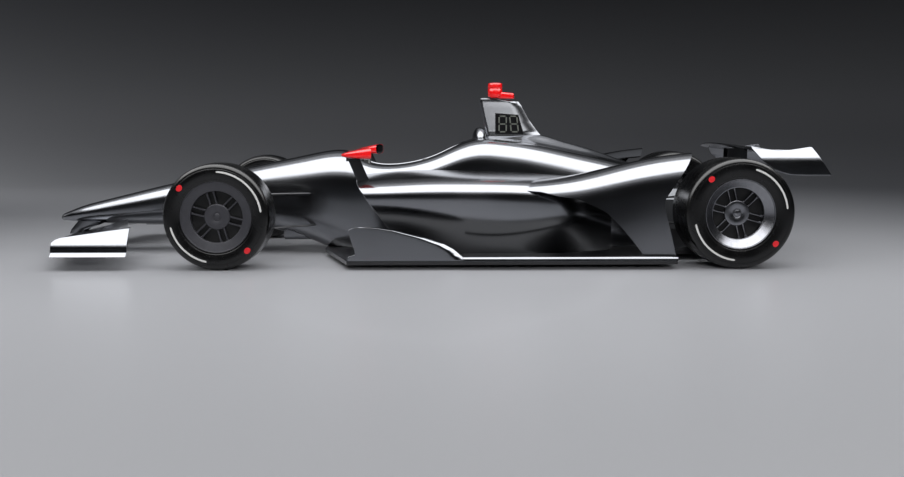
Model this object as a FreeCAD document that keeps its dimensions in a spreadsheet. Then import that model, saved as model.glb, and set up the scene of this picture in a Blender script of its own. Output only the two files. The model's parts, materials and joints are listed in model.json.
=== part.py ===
import FreeCAD, Part
import math
import os
import Sketcher

# Open wheel racing car in low drag trim, in millimetres.
# +X points to the nose, +Y to the car's left and +Z up. The origin is on the ground, under the
# middle of the car's length. Stations along the car are measured from the front axle, positive
# to the rear, apart from those of the cockpit's pieces, which are measured back from the joint
# between nose and tub, so that the pieces move with it.

V = FreeCAD.Vector
doc = FreeCAD.newDocument("OpenWheelCar")
sheet = doc.addObject("Spreadsheet::Sheet", "Sizes")

# Driving dimensions: alias and millimetres, in the order in which the car is put together
SIZES = (
    # the whole car
    ("wheel_base", 3050),
    ("front_overhang", 1240),
    ("rear_overhang", 695),
    ("tyre_outer_half", 970),
    ("fit_gap", 0.3),
    ("run_gap", 6),
    ("cut_over", 40),
    # floor
    ("floor_low", 30),
    ("floor_thick", 22),
    ("floor_front", 560),
    ("floor_wing_front", 750),
    ("floor_wide_end", 2690),
    ("diffuser_length", 560),
    ("diffuser_rise", 95),
    ("strake_thick", 6),
    ("strake_side", 175),
    ("strake_height", 78),
    ("floor_half_width", 950),
    ("floor_neck_half", 330),
    ("floor_tail_half", 520),
    ("floor_lip_height", 24),
    ("floor_lip_width", 165),
    # nose, tub and engine cover, one body that is split at the front and the rear bulkhead
    ("body_length", 3857),
    ("body_height", 800),
    ("body_half_width", 362),
    ("belly_height", 181),
    ("ridge_height", 67),
    ("ridge_half_width", 85),
    ("nose_length", 940),
    ("tub_length", 1853),
    ("tub_half_width", 310),
    # cockpit, its front and the seat's measured back from the joint between nose and tub
    ("cockpit_front", 990),
    ("cockpit_length", 790),
    ("cockpit_half_width", 225),
    ("cockpit_floor", 90),
    ("cockpit_corner", 110),
    ("footwell_length", 420),
    ("footwell_top", 500),
    ("dash_thick", 50),
    ("dash_low", 506),
    ("dash_high", 606),
    ("dash_half_width", 100),
    ("seat_half_width", 190),
    ("seat_thick", 60),
    ("seat_front", 1160),
    ("headrest_low", 548),
    ("headrest_thick", 70),
    ("headrest_length", 330),
    ("headrest_arm", 55),
    ("headrest_back", 75),
    # engine cover, engine and gearbox
    ("cover_wall", 14),
    ("engine_length", 510),
    ("engine_half_width", 230),
    ("engine_height", 480),
    ("gearbox_length", 1130),
    ("gearbox_front_half", 160),
    ("gearbox_rear_half", 95),
    ("gearbox_low", 150),
    ("gearbox_front_high", 460),
    ("gearbox_rear_high", 400),
    ("crash_length", 290),
    ("crash_half_width", 60),
    ("crash_low", 270),
    ("crash_high", 380),
    ("starter_radius", 11),
    ("starter_depth", 60),
    # fin over the roll hoop, with its camera pod and number panels
    ("fin_front", 1569),
    ("fin_length", 544),
    ("fin_low", 697),
    ("fin_height", 331),
    ("fin_thick", 34),
    ("hoop_station", 1571),
    ("hoop_high", 829),
    ("hoop_radius", 52),
    ("hoop_half_width", 90),
    ("pod_radius", 49),
    ("pod_station", 1672),
    ("pod_low", 1006),
    ("pod_high", 1124),
    ("pod_box_end", 1803),
    ("pod_box_high", 1071),
    ("pod_box_half", 32),
    ("panel_front", 1672),
    ("panel_length", 195),
    ("panel_low", 781),
    ("panel_height", 144),
    ("panel_thick", 5),
    # sidepods and rear wheel ramps
    ("pod_front", 740),
    ("pod_length", 1640),
    ("pod_half_width", 820),
    ("pod_height", 540),
    ("pod_lip_top_station", 796),
    ("pod_lip_low_station", 985),
    ("pod_lip_top", 485),
    ("pod_lip_low", 210),
    ("inlet_inner", 400),
    ("inlet_outer", 700),
    ("inlet_low", 275),
    ("inlet_high", 450),
    ("inlet_depth", 240),
    ("inlet_corner", 40),
    ("ramp_front", 1700),
    ("ramp_length", 1130),
    ("ramp_height", 610),
    ("ramp_outer", 905),
    ("ramp_wall", 16),
    # fences at the front corners of the floor
    ("fence_front", 752),
    ("fence_length", 685),
    ("fence_height", 199),
    ("fence_thick", 8),
    # mirrors
    ("mirror_side", 620),
    ("mirror_front", 715),
    ("mirror_length", 150),
    ("mirror_width", 170),
    ("mirror_low", 631),
    ("mirror_high", 691),
    ("mirror_round", 22),
    ("mirror_glass_thick", 4),
    ("mirror_stalk_thick", 10),
    ("mirror_stalk_chord", 75),
    ("mirror_stalk_sweep", 62),
    # front wing
    ("front_wing_half", 932),
    ("front_wing_break", 300),
    ("front_wing_lead_centre", 1185),
    ("front_wing_lead_break", 1163),
    ("front_wing_lead_tip", 965),
    ("front_wing_chord", 235),
    ("front_wing_thick", 26),
    ("front_wing_low", 108),
    ("front_wing_rise", 44),
    ("flap_chord", 225),
    ("flap_rise", 80),
    ("flap_thick", 14),
    ("flap_slot", 10),
    ("front_plate_thick", 8),
    ("front_plate_front", 967),
    ("front_plate_length", 443),
    ("front_plate_low", 80),
    ("front_plate_height", 161),
    ("front_foot_width", 55),
    ("front_foot_thick", 10),
    ("pylon_side", 56),
    ("pylon_thick", 12),
    ("pylon_front", 1180),
    ("pylon_length", 231),
    ("pylon_low", 104),
    ("pylon_height", 130),
    # rear wing
    ("rear_wing_half", 552),
    ("rear_wing_front", 3205),
    ("rear_wing_chord", 420),
    ("rear_wing_high", 700),
    ("rear_wing_bow", 60),
    ("rear_wing_thick", 30),
    ("rear_plate_front", 3250),
    ("rear_plate_length", 495),
    ("rear_plate_low", 530),
    ("rear_plate_height", 184),
    ("rear_plate_thick", 8),
    ("rear_pylon_side", 45),
    ("rear_pylon_thick", 8),
    ("rear_pylon_front", 3240),
    ("rear_pylon_chord", 130),
    # wheels
    ("front_tyre_radius", 311.7),
    ("rear_tyre_radius", 325.9),
    ("front_tyre_width", 280),
    ("rear_tyre_width", 360),
    ("tyre_bulge_drop", 29),
    ("tyre_tread_drop", 24),
    ("rim_radius", 207.5),
    ("bead_radius", 190.5),
    ("barrel_radius", 178),
    ("ring_radius", 155),
    ("lip_radius", 200),
    ("throat_radius", 184),
    ("flange_thick", 12),
    ("rim_inset", 10),
    ("front_dish", 45),
    ("rear_dish", 140),
    ("ring_depth", 26),
    ("hub_face_radius", 70),
    ("spoke_width", 14),
    ("spoke_gap", 15),
    ("spoke_depth", 18),
    ("hub_radius", 30),
    ("disc_radius", 140),
    ("disc_thick", 24),
    ("bell_radius", 62),
    # uprights and steering; the steering wheel's station is measured back from the same joint
    ("kingpin_inset", 250),
    ("rear_upright_inset", 290),
    ("upright_half_length", 36),
    ("upright_half_thick", 22),
    ("upright_half_height", 96),
    ("joint_radius", 16),
    ("joint_height", 24),
    ("caliper_half_height", 62),
    ("caliper_wall", 16),
    ("caliper_reach", 46),
    ("steer_arm", 110),
    ("steer_arm_thick", 12),
    ("steer_eye_radius", 13),
    ("rack_radius", 11),
    ("wheel_grip_radius", 135),
    ("wheel_rim_radius", 15),
    ("wheel_station", 1115),
    ("wheel_centre_high", 560),
    ("column_radius", 12),
    # wishbones
    ("leg_chord", 30),
    ("leg_thick", 13),
    ("front_leg_root", 110),
    ("front_upper_lead", 130),
    ("front_upper_trail", 586),
    ("front_upper_root_high", 397),
    ("front_lower_lead", 150),
    ("front_lower_trail", 620),
    ("front_lower_root_high", 195),
    ("pushrod_root_side", 110),
    ("pushrod_root_high", 490),
    ("pushrod_radius", 9),
    ("rear_leg_lead", 330),
    ("rear_leg_trail", 110),
    ("rear_upper_root_high", 350),
    ("rear_lower_root_high", 200),
    ("drive_radius", 18),
    ("drive_flange_radius", 45),
)

for row, (alias, millimetres) in enumerate(SIZES, start=1):
    sheet.set(f"A{row}", alias)
    sheet.set(f"B{row}", str(millimetres))
    sheet.setAlias(f"B{row}", alias)
doc.recompute()


class Length:
    """A length in millimetres that also knows the sheet formula it comes from."""

    def __init__(self, value, formula):
        self.value = value
        self.formula = formula

    def __add__(self, other):
        return Length(self.value + other.value, f"({self.formula} + {other.formula})")

    def __sub__(self, other):
        return Length(self.value - other.value, f"({self.formula} - {other.formula})")

    def __neg__(self):
        return Length(-self.value, f"(0 - {self.formula})")

    def __mul__(self, share):
        return Length(self.value * share, f"({self.formula} * {share})")

    __rmul__ = __mul__


def length(alias):
    """The named length of the sheet, with its formula."""
    return Length(float(getattr(sheet, alias)), f"Sizes.{alias}")


def mm(alias):
    """The named length of the sheet, as a plain number."""
    return float(getattr(sheet, alias))


# Places that several pieces share
FRONT_AXLE = 0.5 * (length("wheel_base") + length("rear_overhang") - length("front_overhang"))
REAR_AXLE = FRONT_AXLE - length("wheel_base")
FLOOR_TOP = length("floor_low") + length("floor_thick")
TUB_END = length("nose_length") + length("tub_length") - length("front_overhang")
BULKHEAD = TUB_END.value
KINGPIN = length("tyre_outer_half") - length("kingpin_inset")
REAR_UPRIGHT = length("tyre_outer_half") - length("rear_upright_inset")
SIDES = (("left", 1), ("right", -1))


def x_at(station):
    """X of a station that is measured rearward from the front axle."""
    return FRONT_AXLE.value - station


def bind(thing, prop, size):
    """Ties a property to the sheet."""
    thing.setExpression(prop, size.formula)


def feature(label, shape):
    """A sub-part whose shape comes from Part's own functions."""
    piece = doc.addObject("Part::Feature", label)
    piece.Label = label
    piece.Shape = shape
    piece.Placement = FreeCAD.Placement()
    return piece


def joined(shapes):
    """One shape from several, with the seams between them taken out."""
    shapes = list(shapes)
    return shapes[0].fuse(shapes[1:]).removeSplitter() if len(shapes) > 1 else shapes[0]


def mirrored(shape):
    """The same shape on the other side of the car."""
    return shape.mirror(V(0, 0, 0), V(0, 1, 0))


def on_side(shape, side):
    """The shape itself on the left, its mirror image on the right."""
    return shape if side > 0 else mirrored(shape)


def raised(shape, gap):
    """A copy lifted by the gap, to cut a seat with."""
    copy = shape.copy()
    copy.translate(V(0, 0, gap))
    return copy


def clear_of(shape, seat):
    """The largest solid of a shape that is left when its seat, moved up, out and forward by the
    gap, is cut from it."""
    gap = mm("fit_gap")
    moved = seat.copy()
    moved.translate(V(gap, gap, gap))
    return max(shape.cut(moved).Solids, key=lambda solid: solid.Volume)


def box(x_low, x_high, y_low, y_high, z_low, z_high):
    """A block between two corners."""
    return Part.makeBox(x_high - x_low, y_high - y_low, z_high - z_low, V(x_low, y_low, z_low))


def rod(start, end, radius):
    """A round bar between two points."""
    return Part.makeCylinder(radius, (end - start).Length, start, end - start)


def side_plate(points, y_low, y_high):
    """A plate cut to a closed outline of (X, Z) points, between two planes of Y."""
    corners = [V(x, y_low, z) for x, z in points]
    face = Part.Face(Part.makePolygon(corners + corners[:1]))
    return face.extrude(V(0, y_high - y_low, 0))


def share_outline(shares, start, extent, low, height):
    """(X, Z) points from shares of a length behind a station and of a height above a level."""
    return [(x_at(start + along * extent), low + up * height) for along, up in shares]


# A streamlined leg's section: share of the chord ahead of its axis, share of the thickness beside it
LENS_SHARES = ((0.5, 0.0), (0.28, 0.4), (0.0, 0.5), (-0.3, 0.32), (-0.5, 0.0), (-0.3, -0.32),
               (0.0, -0.5), (0.28, -0.4))


def blade(start, end, chord, thick):
    """A streamlined suspension leg: a lens, long along the car, swept from start to end."""
    axis = end - start
    across = axis.cross(V(1, 0, 0)).normalize()
    along = across.cross(axis).normalize()
    corners = [start + along * (ahead * chord) + across * (beside * thick) for ahead, beside in LENS_SHARES]
    return Part.Face(Part.makePolygon(corners + corners[:1])).extrude(axis)


def flatten(surface, places, points):
    """Puts a rim's control points exactly on each level that all points of the rim share."""
    for axis in ("x", "y", "z"):
        level = getattr(points[0], axis)
        if any(round(getattr(point, axis) - level, 6) for point in points):
            continue
        for place in places:
            pole = surface.getPole(*place)
            setattr(pole, axis, level)
            surface.setPole(*place, pole)


def skin(rows):
    """The smooth face through rows of points, with the edges along its first and last row and
    along its first and last column."""
    surface = Part.BSplineSurface()
    surface.interpolate(rows)
    u_places = range(1, surface.NbUPoles + 1)
    v_places = range(1, surface.NbVPoles + 1)
    for end, v in ((0, 1), (-1, surface.NbVPoles)):
        flatten(surface, [(u, v) for u in u_places], [row[end] for row in rows])
    for end, u in ((0, 1), (-1, surface.NbUPoles)):
        flatten(surface, [(u, v) for v in v_places], rows[end])
    u_low, u_high, v_low, v_high = surface.bounds()
    rims = [surface.uIso(u_low), surface.uIso(u_high), surface.vIso(v_low), surface.vIso(v_high)]
    return surface.toShape(), [rim.toShape() for rim in rims]


def lid(edges):
    """A flat face inside a loop of edges."""
    return Part.Face(Part.Wire(Part.__sortEdges__(edges)))


def line(start, end):
    """A straight edge."""
    return Part.LineSegment(start, end).toShape()


def closed(faces):
    """The solid that the faces enclose."""
    shell = Part.makeShell(faces)
    shell.sewShape()
    solid = Part.Solid(shell)
    if solid.Volume < 0:
        solid.reverse()
    return solid


# Points round half a cross-section of the body, from the keel to the spine
RING_STEPS = 18


def half_ring(x, low, high, half_width, top_power, low_power, ridge, grow):
    """The left half of a cross-section: a superellipse in polar form, whose upper and lower part
    have their own power, with a ridge along the spine that fades outwards as a bell curve."""
    middle = (low + high) / 2
    half_height = (high - low) / 2 + grow
    half = half_width + grow
    points = []
    for i in range(RING_STEPS + 1):
        angle = math.pi * (i / RING_STEPS - 1 / 2)
        c = math.cos(angle)
        s = math.sin(angle)
        power = top_power if s > 0 else low_power
        reach = (abs(c) ** power + abs(s) ** power) ** (-1 / power)
        y = half * c * reach if 0 < i < RING_STEPS else 0
        crest = ridge * math.exp(-(y / mm("ridge_half_width")) ** 2) * max(s, 0) ** 2
        points.append(V(x, y, middle + half_height * s * reach + crest))
    return points


# The body from the nose's tip to the engine cover's tail. A row is the share of its length, the top
# as a share of its height, the belly as a share of its rise over the floor, the half width as a
# share, the powers that square the upper and the lower part, and the ridge as a share of its height.
BODY_SHARES = (
    (0.0000, 0.291, 0.915, 0.061, 2.0, 2.0, 0.00),
    (0.0021, 0.306, 0.877, 0.124, 2.0, 2.0, 0.00),
    (0.0078, 0.325, 0.844, 0.177, 2.1, 2.1, 0.00),
    (0.0254, 0.360, 0.810, 0.232, 2.2, 2.2, 0.00),
    (0.0739, 0.429, 0.766, 0.309, 2.4, 2.4, 0.00),
    (0.1372, 0.504, 0.733, 0.381, 2.6, 2.7, 0.00),
    (0.1877, 0.562, 0.722, 0.436, 2.7, 2.9, 0.00),
    (0.2567, 0.632, 0.706, 0.497, 2.8, 3.1, 0.00),
    (0.3215, 0.700, 0.661, 0.558, 2.8, 3.2, 0.00),
    (0.3806, 0.760, 0.512, 0.630, 2.8, 3.3, 0.00),
    (0.4304, 0.810, 0.200, 0.702, 2.8, 3.4, 0.00),
    (0.4771, 0.849, -0.260, 0.762, 2.9, 3.8, 0.00),
    (0.5030, 0.838, -0.600, 0.801, 3.2, 3.8, 0.00),
    (0.5325, 0.769, -0.600, 0.834, 4.2, 4.0, 0.00),
    (0.5662, 0.737, -0.600, 0.856, 5.0, 4.0, 0.00),
    (0.6251, 0.775, -0.600, 0.878, 5.0, 4.0, 0.00),
    (0.6536, 0.820, -0.600, 0.890, 5.0, 4.0, 0.00),
    (0.6840, 0.885, -0.600, 0.906, 4.9, 4.0, 0.00),
    (0.7091, 0.927, -0.600, 0.928, 4.8, 4.0, 0.15),
    (0.7260, 0.943, -0.600, 0.945, 4.7, 4.0, 0.45),
    (0.7623, 0.938, -0.600, 0.978, 4.6, 4.0, 0.82),
    (0.7923, 0.922, -0.600, 1.000, 4.5, 4.0, 0.93),
    (0.8359, 0.887, -0.600, 1.000, 4.3, 4.0, 1.00),
    (0.8693, 0.853, -0.600, 0.978, 4.2, 4.0, 0.87),
    (0.9046, 0.816, -0.600, 0.934, 4.0, 4.0, 0.75),
    (0.9398, 0.780, -0.600, 0.862, 3.8, 4.0, 0.54),
    (0.9754, 0.737, -0.600, 0.768, 3.6, 4.0, 0.33),
    (1.0000, 0.711, -0.600, 0.691, 3.5, 4.0, 0.24),
)


def body_form(grow):
    """Nose, tub and engine cover as one smooth solid, grown all round by a gap or shrunk by a wall."""
    seat = FLOOR_TOP.value + mm("fit_gap")
    rows = []
    for along, top, belly, width, top_power, low_power, ridge in BODY_SHARES:
        x = x_at(along * mm("body_length") - mm("front_overhang"))
        high = top * mm("body_height")
        low = seat + belly * mm("belly_height")
        rows.append(half_ring(x, low, high, width * mm("body_half_width"), top_power, low_power,
                              ridge * mm("ridge_height"), grow))
    left, (front, rear, _, _) = skin(rows)
    faces = [left, mirrored(left), lid([front, mirrored(front)]), lid([rear, mirrored(rear)])]
    return closed(faces)


BODY = body_form(0)
BODY_SEAT = body_form(mm("fit_gap"))


def above_floor(shape):
    """What of a shape stands above the floor's top, with the fit gap under it."""
    reach = mm("body_length")
    level = FLOOR_TOP.value + mm("fit_gap")
    return shape.common(box(-reach, reach, -reach, reach, level, reach))


def body_slice(form, front, rear):
    """A body form between two stations."""
    wide = mm("body_length")
    return form.common(box(x_at(rear), x_at(front), -wide, wide, -wide, wide))


# Station of the front bulkhead, where the nose cone comes off
NOSE_SPLIT = mm("nose_length") - mm("front_overhang")


def behind_nose(station):
    """X of a place measured back from the joint between nose and tub."""
    return x_at(NOSE_SPLIT + station)


def nose_cone():
    """The removable nose, from its tip to the front bulkhead."""
    front = -mm("front_overhang") - mm("cut_over")
    feature("nose_cone", body_slice(BODY, front, NOSE_SPLIT))


def cockpit_well():
    """The space that the tub leaves for the cockpit, with the footwell ahead of it."""
    half = mm("cockpit_half_width")
    front = behind_nose(mm("cockpit_front"))
    rear = front - mm("cockpit_length")
    well = box(rear, front, -half, half, mm("cockpit_floor"), mm("body_height"))
    corners = [e for e in well.Edges if abs(e.Vertexes[0].Z - e.Vertexes[1].Z) > mm("cut_over")]
    well = well.makeFillet(mm("cockpit_corner"), corners)
    foot_half = half - mm("cockpit_corner") / 2
    foot = box(front - mm("cockpit_corner"), front + mm("footwell_length"), -foot_half, foot_half,
               mm("cockpit_floor"), mm("footwell_top"))
    return well.fuse(foot)


def rack_height():
    """Height of the steering rack's axis."""
    return mm("front_tyre_radius") - mm("steer_arm_thick") / 2 + mm("fit_gap")


def rack_tunnel():
    """The cross bore in which the steering rack slides."""
    x = FRONT_AXLE.value + mm("steer_arm")
    reach = mm("tub_half_width") + mm("cut_over")
    return rod(V(x, -reach, rack_height()), V(x, reach, rack_height()), mm("rack_radius") + mm("fit_gap"))


def tub():
    """The monocoque: body shell with the cockpit cut out and the rack's cross bore."""
    monocoque = above_floor(body_slice(BODY, NOSE_SPLIT + mm("fit_gap"), BULKHEAD))
    feature("tub", monocoque.cut(cockpit_well()).cut(rack_tunnel()))


# The space inside the body, run out through its tail
BODY_INSIDE = body_form(-mm("cover_wall"))
TAIL_FACE = min(BODY_INSIDE.Faces, key=lambda face: face.CenterOfMass.x)
BODY_TAIL = TAIL_FACE.extrude(V(-mm("cut_over"), 0, 0))


def engine_cover():
    """A thin shell over the engine, open below, at the front and at the tail."""
    tail = mm("body_length") - mm("front_overhang") + mm("cut_over")
    outer = body_slice(BODY, BULKHEAD + mm("fit_gap"), tail)
    inner = BODY_INSIDE.fuse(BODY_TAIL)
    feature("engine_cover", above_floor(outer.cut(inner)))


def engine_block():
    """The engine as one plain block, bolted to the tub's rear bulkhead."""
    block = doc.addObject("Part::Box", "engine_block")
    block.Label = "engine_block"
    bind(block, "Length", length("engine_length"))
    bind(block, "Width", 2 * length("engine_half_width"))
    bind(block, "Height", length("engine_height"))
    bind(block, "Placement.Base.x", FRONT_AXLE - TUB_END - 2 * length("fit_gap") - length("engine_length"))
    bind(block, "Placement.Base.y", -length("engine_half_width"))
    bind(block, "Placement.Base.z", FLOOR_TOP + length("fit_gap"))


def gearbox_front():
    """Station of the gearbox's front face, on the engine's back."""
    return BULKHEAD + mm("engine_length") + 3 * mm("fit_gap")


def gearbox_half(station):
    """Half width of the tapered gearbox at a station."""
    share = (station - gearbox_front()) / mm("gearbox_length")
    return mm("gearbox_front_half") + share * (mm("gearbox_rear_half") - mm("gearbox_front_half"))


# The casing's cross-section, an eight-sided outline: shares of the half width and of the height
CASING_SHARES = ((-0.72, 0.0), (0.72, 0.0), (1.0, 0.2), (1.0, 0.74), (0.66, 1.0), (-0.66, 1.0),
                 (-1.0, 0.74), (-1.0, 0.2))


def gearbox():
    """The gearbox casing, tapered from the engine's back to the rear crash structure."""
    start = x_at(gearbox_front())
    end = start - mm("gearbox_length")
    low = mm("gearbox_low")
    wires = []
    for x, half, high in ((start, mm("gearbox_front_half"), mm("gearbox_front_high")),
                          (end, mm("gearbox_rear_half"), mm("gearbox_rear_high"))):
        corners = [V(x, across * half, low + up * (high - low)) for across, up in CASING_SHARES]
        wires.append(Part.makePolygon(corners + corners[:1]))
    feature("gearbox", Part.makeLoft(wires, True, True))


def crash_structure():
    """The rear crash structure, with the socket for the starter's shaft in its end."""
    start = x_at(gearbox_front() + mm("gearbox_length") + mm("fit_gap"))
    end = start - mm("crash_length")
    half = mm("crash_half_width")
    middle = (mm("crash_low") + mm("crash_high")) / 2
    beam = box(end, start, -half, half, mm("crash_low"), mm("crash_high"))
    outside = V(end - mm("cut_over"), 0, middle)
    socket = rod(outside, V(end + mm("starter_depth"), 0, middle), mm("starter_radius"))
    feature("rear_crash_structure", beam.cut(socket))


def floor():
    """The flat floor in plan, a raised lip along each outer edge, and the diffuser at its tail."""
    body = doc.addObject("PartDesign::Body", "floor")
    body.Label = "floor"
    wide_end = FRONT_AXLE - length("floor_wide_end")
    outer = length("floor_half_width")
    tail = length("floor_tail_half")
    left = [(FRONT_AXLE - length("floor_front"), length("floor_neck_half")),
            (FRONT_AXLE - length("floor_wing_front"), outer),
            (wide_end, outer)]
    right = [(x, -y) for x, y in reversed(left)]
    plan = polygon_sketch(body, "floor_plan", "XY_Plane", left + right)
    raise_sketch(plan, length("floor_low"))
    pad(body, plan, "floor_plate", length("floor_thick"), False)

    lip_front = FRONT_AXLE - length("fence_front") - length("fence_length") - length("fit_gap")
    inner = outer - length("floor_lip_width")
    for name, side in SIDES:
        corners = [(lip_front, side * inner), (lip_front, side * outer), (wide_end, side * outer),
                   (wide_end, side * inner)]
        lip = polygon_sketch(body, f"lip_plan_{name}", "XY_Plane", corners)
        raise_sketch(lip, FLOOR_TOP)
        pad(body, lip, f"lip_{name}", length("floor_lip_height"), False)

    low = length("floor_low")
    rise = length("diffuser_rise")
    exit_x = wide_end - length("diffuser_length")
    slope = [(wide_end, low), (wide_end, FLOOR_TOP), (exit_x, FLOOR_TOP + rise), (exit_x, low + rise)]
    ramp = polygon_sketch(body, "diffuser_side", "XZ_Plane", slope)
    pad(body, ramp, "diffuser_roof", 2 * tail, False).Midplane = True

    strake = [(wide_end, low), (exit_x, low + rise), (exit_x, low + rise - length("strake_height"))]
    thick = length("strake_thick")
    for number, place in enumerate((tail - thick, length("strake_side"))):
        for name, side in SIDES:
            vane = polygon_sketch(body, f"strake_{number}_{name}", "XZ_Plane", strake)
            near = place if side < 0 else -place - thick
            raise_sketch(vane, near)
            pad(body, vane, f"strake_pad_{number}_{name}", thick, False)


def plane_of(body, role):
    """The body's own origin plane of that role."""
    return [part for part in body.Origin.OriginFeatures if part.Role == role][0]


def polygon_sketch(body, name, role, points):
    """A closed polygon on an origin plane, each corner held to the sheet by two distances."""
    sketch = body.newObject("Sketcher::SketchObject", name)
    sketch.AttachmentSupport = (plane_of(body, role), [""])
    sketch.MapMode = "FlatFace"
    count = len(points)
    corners = [V(a.value, b.value, 0) for a, b in points]
    for i in range(count):
        sketch.addGeometry(Part.LineSegment(corners[i], corners[(i + 1) % count]), False)
    for i in range(count):
        sketch.addConstraint(Sketcher.Constraint("Coincident", i, 2, (i + 1) % count, 1))
    for i, (a, b) in enumerate(points):
        for kind, size in (("DistanceX", a), ("DistanceY", b)):
            index = sketch.addConstraint(Sketcher.Constraint(kind, -1, 1, i, 1, size.value))
            sketch.setExpression(f"Constraints[{index}]", size.formula)
    return sketch


def circle_sketch(body, name, role, radius):
    """A circle about the body's origin, its radius held to the sheet."""
    sketch = body.newObject("Sketcher::SketchObject", name)
    sketch.AttachmentSupport = (plane_of(body, role), [""])
    sketch.MapMode = "FlatFace"
    sketch.addGeometry(Part.Circle(V(0, 0, 0), V(0, 0, 1), radius.value), False)
    sketch.addConstraint(Sketcher.Constraint("Coincident", 0, 3, -1, 1))
    index = sketch.addConstraint(Sketcher.Constraint("Radius", 0, radius.value))
    sketch.setExpression(f"Constraints[{index}]", radius.formula)
    return sketch


def raise_sketch(sketch, size):
    """Moves a sketch along its plane's normal."""
    sketch.setExpression("AttachmentOffset.Base.z", size.formula)


def pad(body, sketch, name, size, reversed_way):
    """A pad of a bound length."""
    made = body.newObject("PartDesign::Pad", name)
    made.Profile = sketch
    made.Reversed = reversed_way
    bind(made, "Length", size)
    return made


def revolution(body, sketch, name):
    """A full turn of a sketch about its own horizontal axis."""
    made = body.newObject("PartDesign::Revolution", name)
    made.Profile = sketch
    made.ReferenceAxis = (sketch, ["H_Axis"])
    made.Angle = 360
    return made


def place_wheel(body, end, side):
    """Puts a wheel's body on its axle, turned round on the right so that its face is outside."""
    axle = FRONT_AXLE if end == "front" else REAR_AXLE
    centre = length("tyre_outer_half") - 0.5 * length(f"{end}_tyre_width")
    bind(body, "Placement.Base.x", axle)
    bind(body, "Placement.Base.y", side * centre)
    bind(body, "Placement.Base.z", length(f"{end}_tyre_radius"))
    if side < 0:
        body.Placement.Rotation = FreeCAD.Rotation(V(0, 0, 1), 180)


def tyre(end, name, side):
    """A slick tyre: tread, shoulders, sidewalls and beads turned about the axle."""
    body = doc.addObject("PartDesign::Body", f"{end}_{name}_tyre")
    body.Label = f"{end}_{name}_tyre"
    radius = length(f"{end}_tyre_radius")
    half = 0.5 * length(f"{end}_tyre_width")
    bore = length("bead_radius") + length("fit_gap")
    bead = half - length("rim_inset") - length("flange_thick") - length("fit_gap")
    top = (
        (bead, bore),
        (bead, length("rim_radius") + length("fit_gap")),
        (half, radius - length("tyre_bulge_drop")),
        (half - length("tyre_tread_drop"), radius),
    )
    profile = list(top) + [(-y, r) for y, r in reversed(top)]
    sketch = polygon_sketch(body, f"{end}_{name}_tyre_profile", "YZ_Plane", profile)
    revolution(body, sketch, f"{end}_{name}_tyre_turn")
    place_wheel(body, end, side)


def rim(end, name, side):
    """A dished wheel: turned barrel and flanges, hub face and six pairs of spokes."""
    label = f"{end}_{name}_wheel"
    body = doc.addObject("PartDesign::Body", label)
    body.Label = label
    half = 0.5 * length(f"{end}_tyre_width") - length("rim_inset")
    seat = half - length("flange_thick")
    face = half - length(f"{end}_dish")
    profile = [
        (half, length("lip_radius")),
        (half, length("rim_radius")),
        (seat, length("rim_radius")),
        (seat, length("bead_radius")),
        (-seat, length("bead_radius")),
        (-seat, length("rim_radius")),
        (-half, length("rim_radius")),
        (-half, length("barrel_radius")),
        (face - length("ring_depth"), length("barrel_radius")),
        (face - length("ring_depth"), length("ring_radius")),
        (face, length("ring_radius")),
    ]
    if end == "rear":
        profile.append((face, length("barrel_radius")))
    profile.append((seat, length("throat_radius")))
    sketch = polygon_sketch(body, f"{label}_profile", "YZ_Plane", profile)
    revolution(body, sketch, f"{label}_turn")

    spoke_low = 0.5 * length("hub_face_radius")
    spoke_high = length("ring_radius") + 0.5 * (length("barrel_radius") - length("ring_radius"))
    near = 0.5 * length("spoke_gap")
    far = near + length("spoke_width")
    bars = []
    for twin, hand in (("upper", 1), ("lower", -1)):
        corners = [(spoke_low, hand * near), (spoke_high, hand * near),
                   (spoke_high, hand * far), (spoke_low, hand * far)]
        spoke = polygon_sketch(body, f"{label}_{twin}_bar", "XZ_Plane", corners)
        raise_sketch(spoke, -face)
        bars.append(pad(body, spoke, f"{label}_{twin}_spoke", length("spoke_depth"), False))

    hub = circle_sketch(body, f"{label}_hub_face", "XZ_Plane", length("hub_face_radius"))
    raise_sketch(hub, -face)
    pad(body, hub, f"{label}_hub_pad", length("spoke_depth"), False)
    doc.recompute()

    pattern = body.newObject("PartDesign::PolarPattern", f"{label}_spokes")
    pattern.Originals = bars
    pattern.Axis = (plane_of(body, "Y_Axis"), [""])
    pattern.Angle = 360
    pattern.Occurrences = 6
    body.Tip = pattern
    place_wheel(body, end, side)
    return body


def poled_points(x, poles, steps):
    """Points along the smooth curve that a row of control points pulls into shape."""
    curve = Part.BSplineCurve()
    curve.buildFromPoles([V(x, y, z) for y, z in poles])
    return [curve.value(i / steps) for i in range(steps + 1)]


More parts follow.
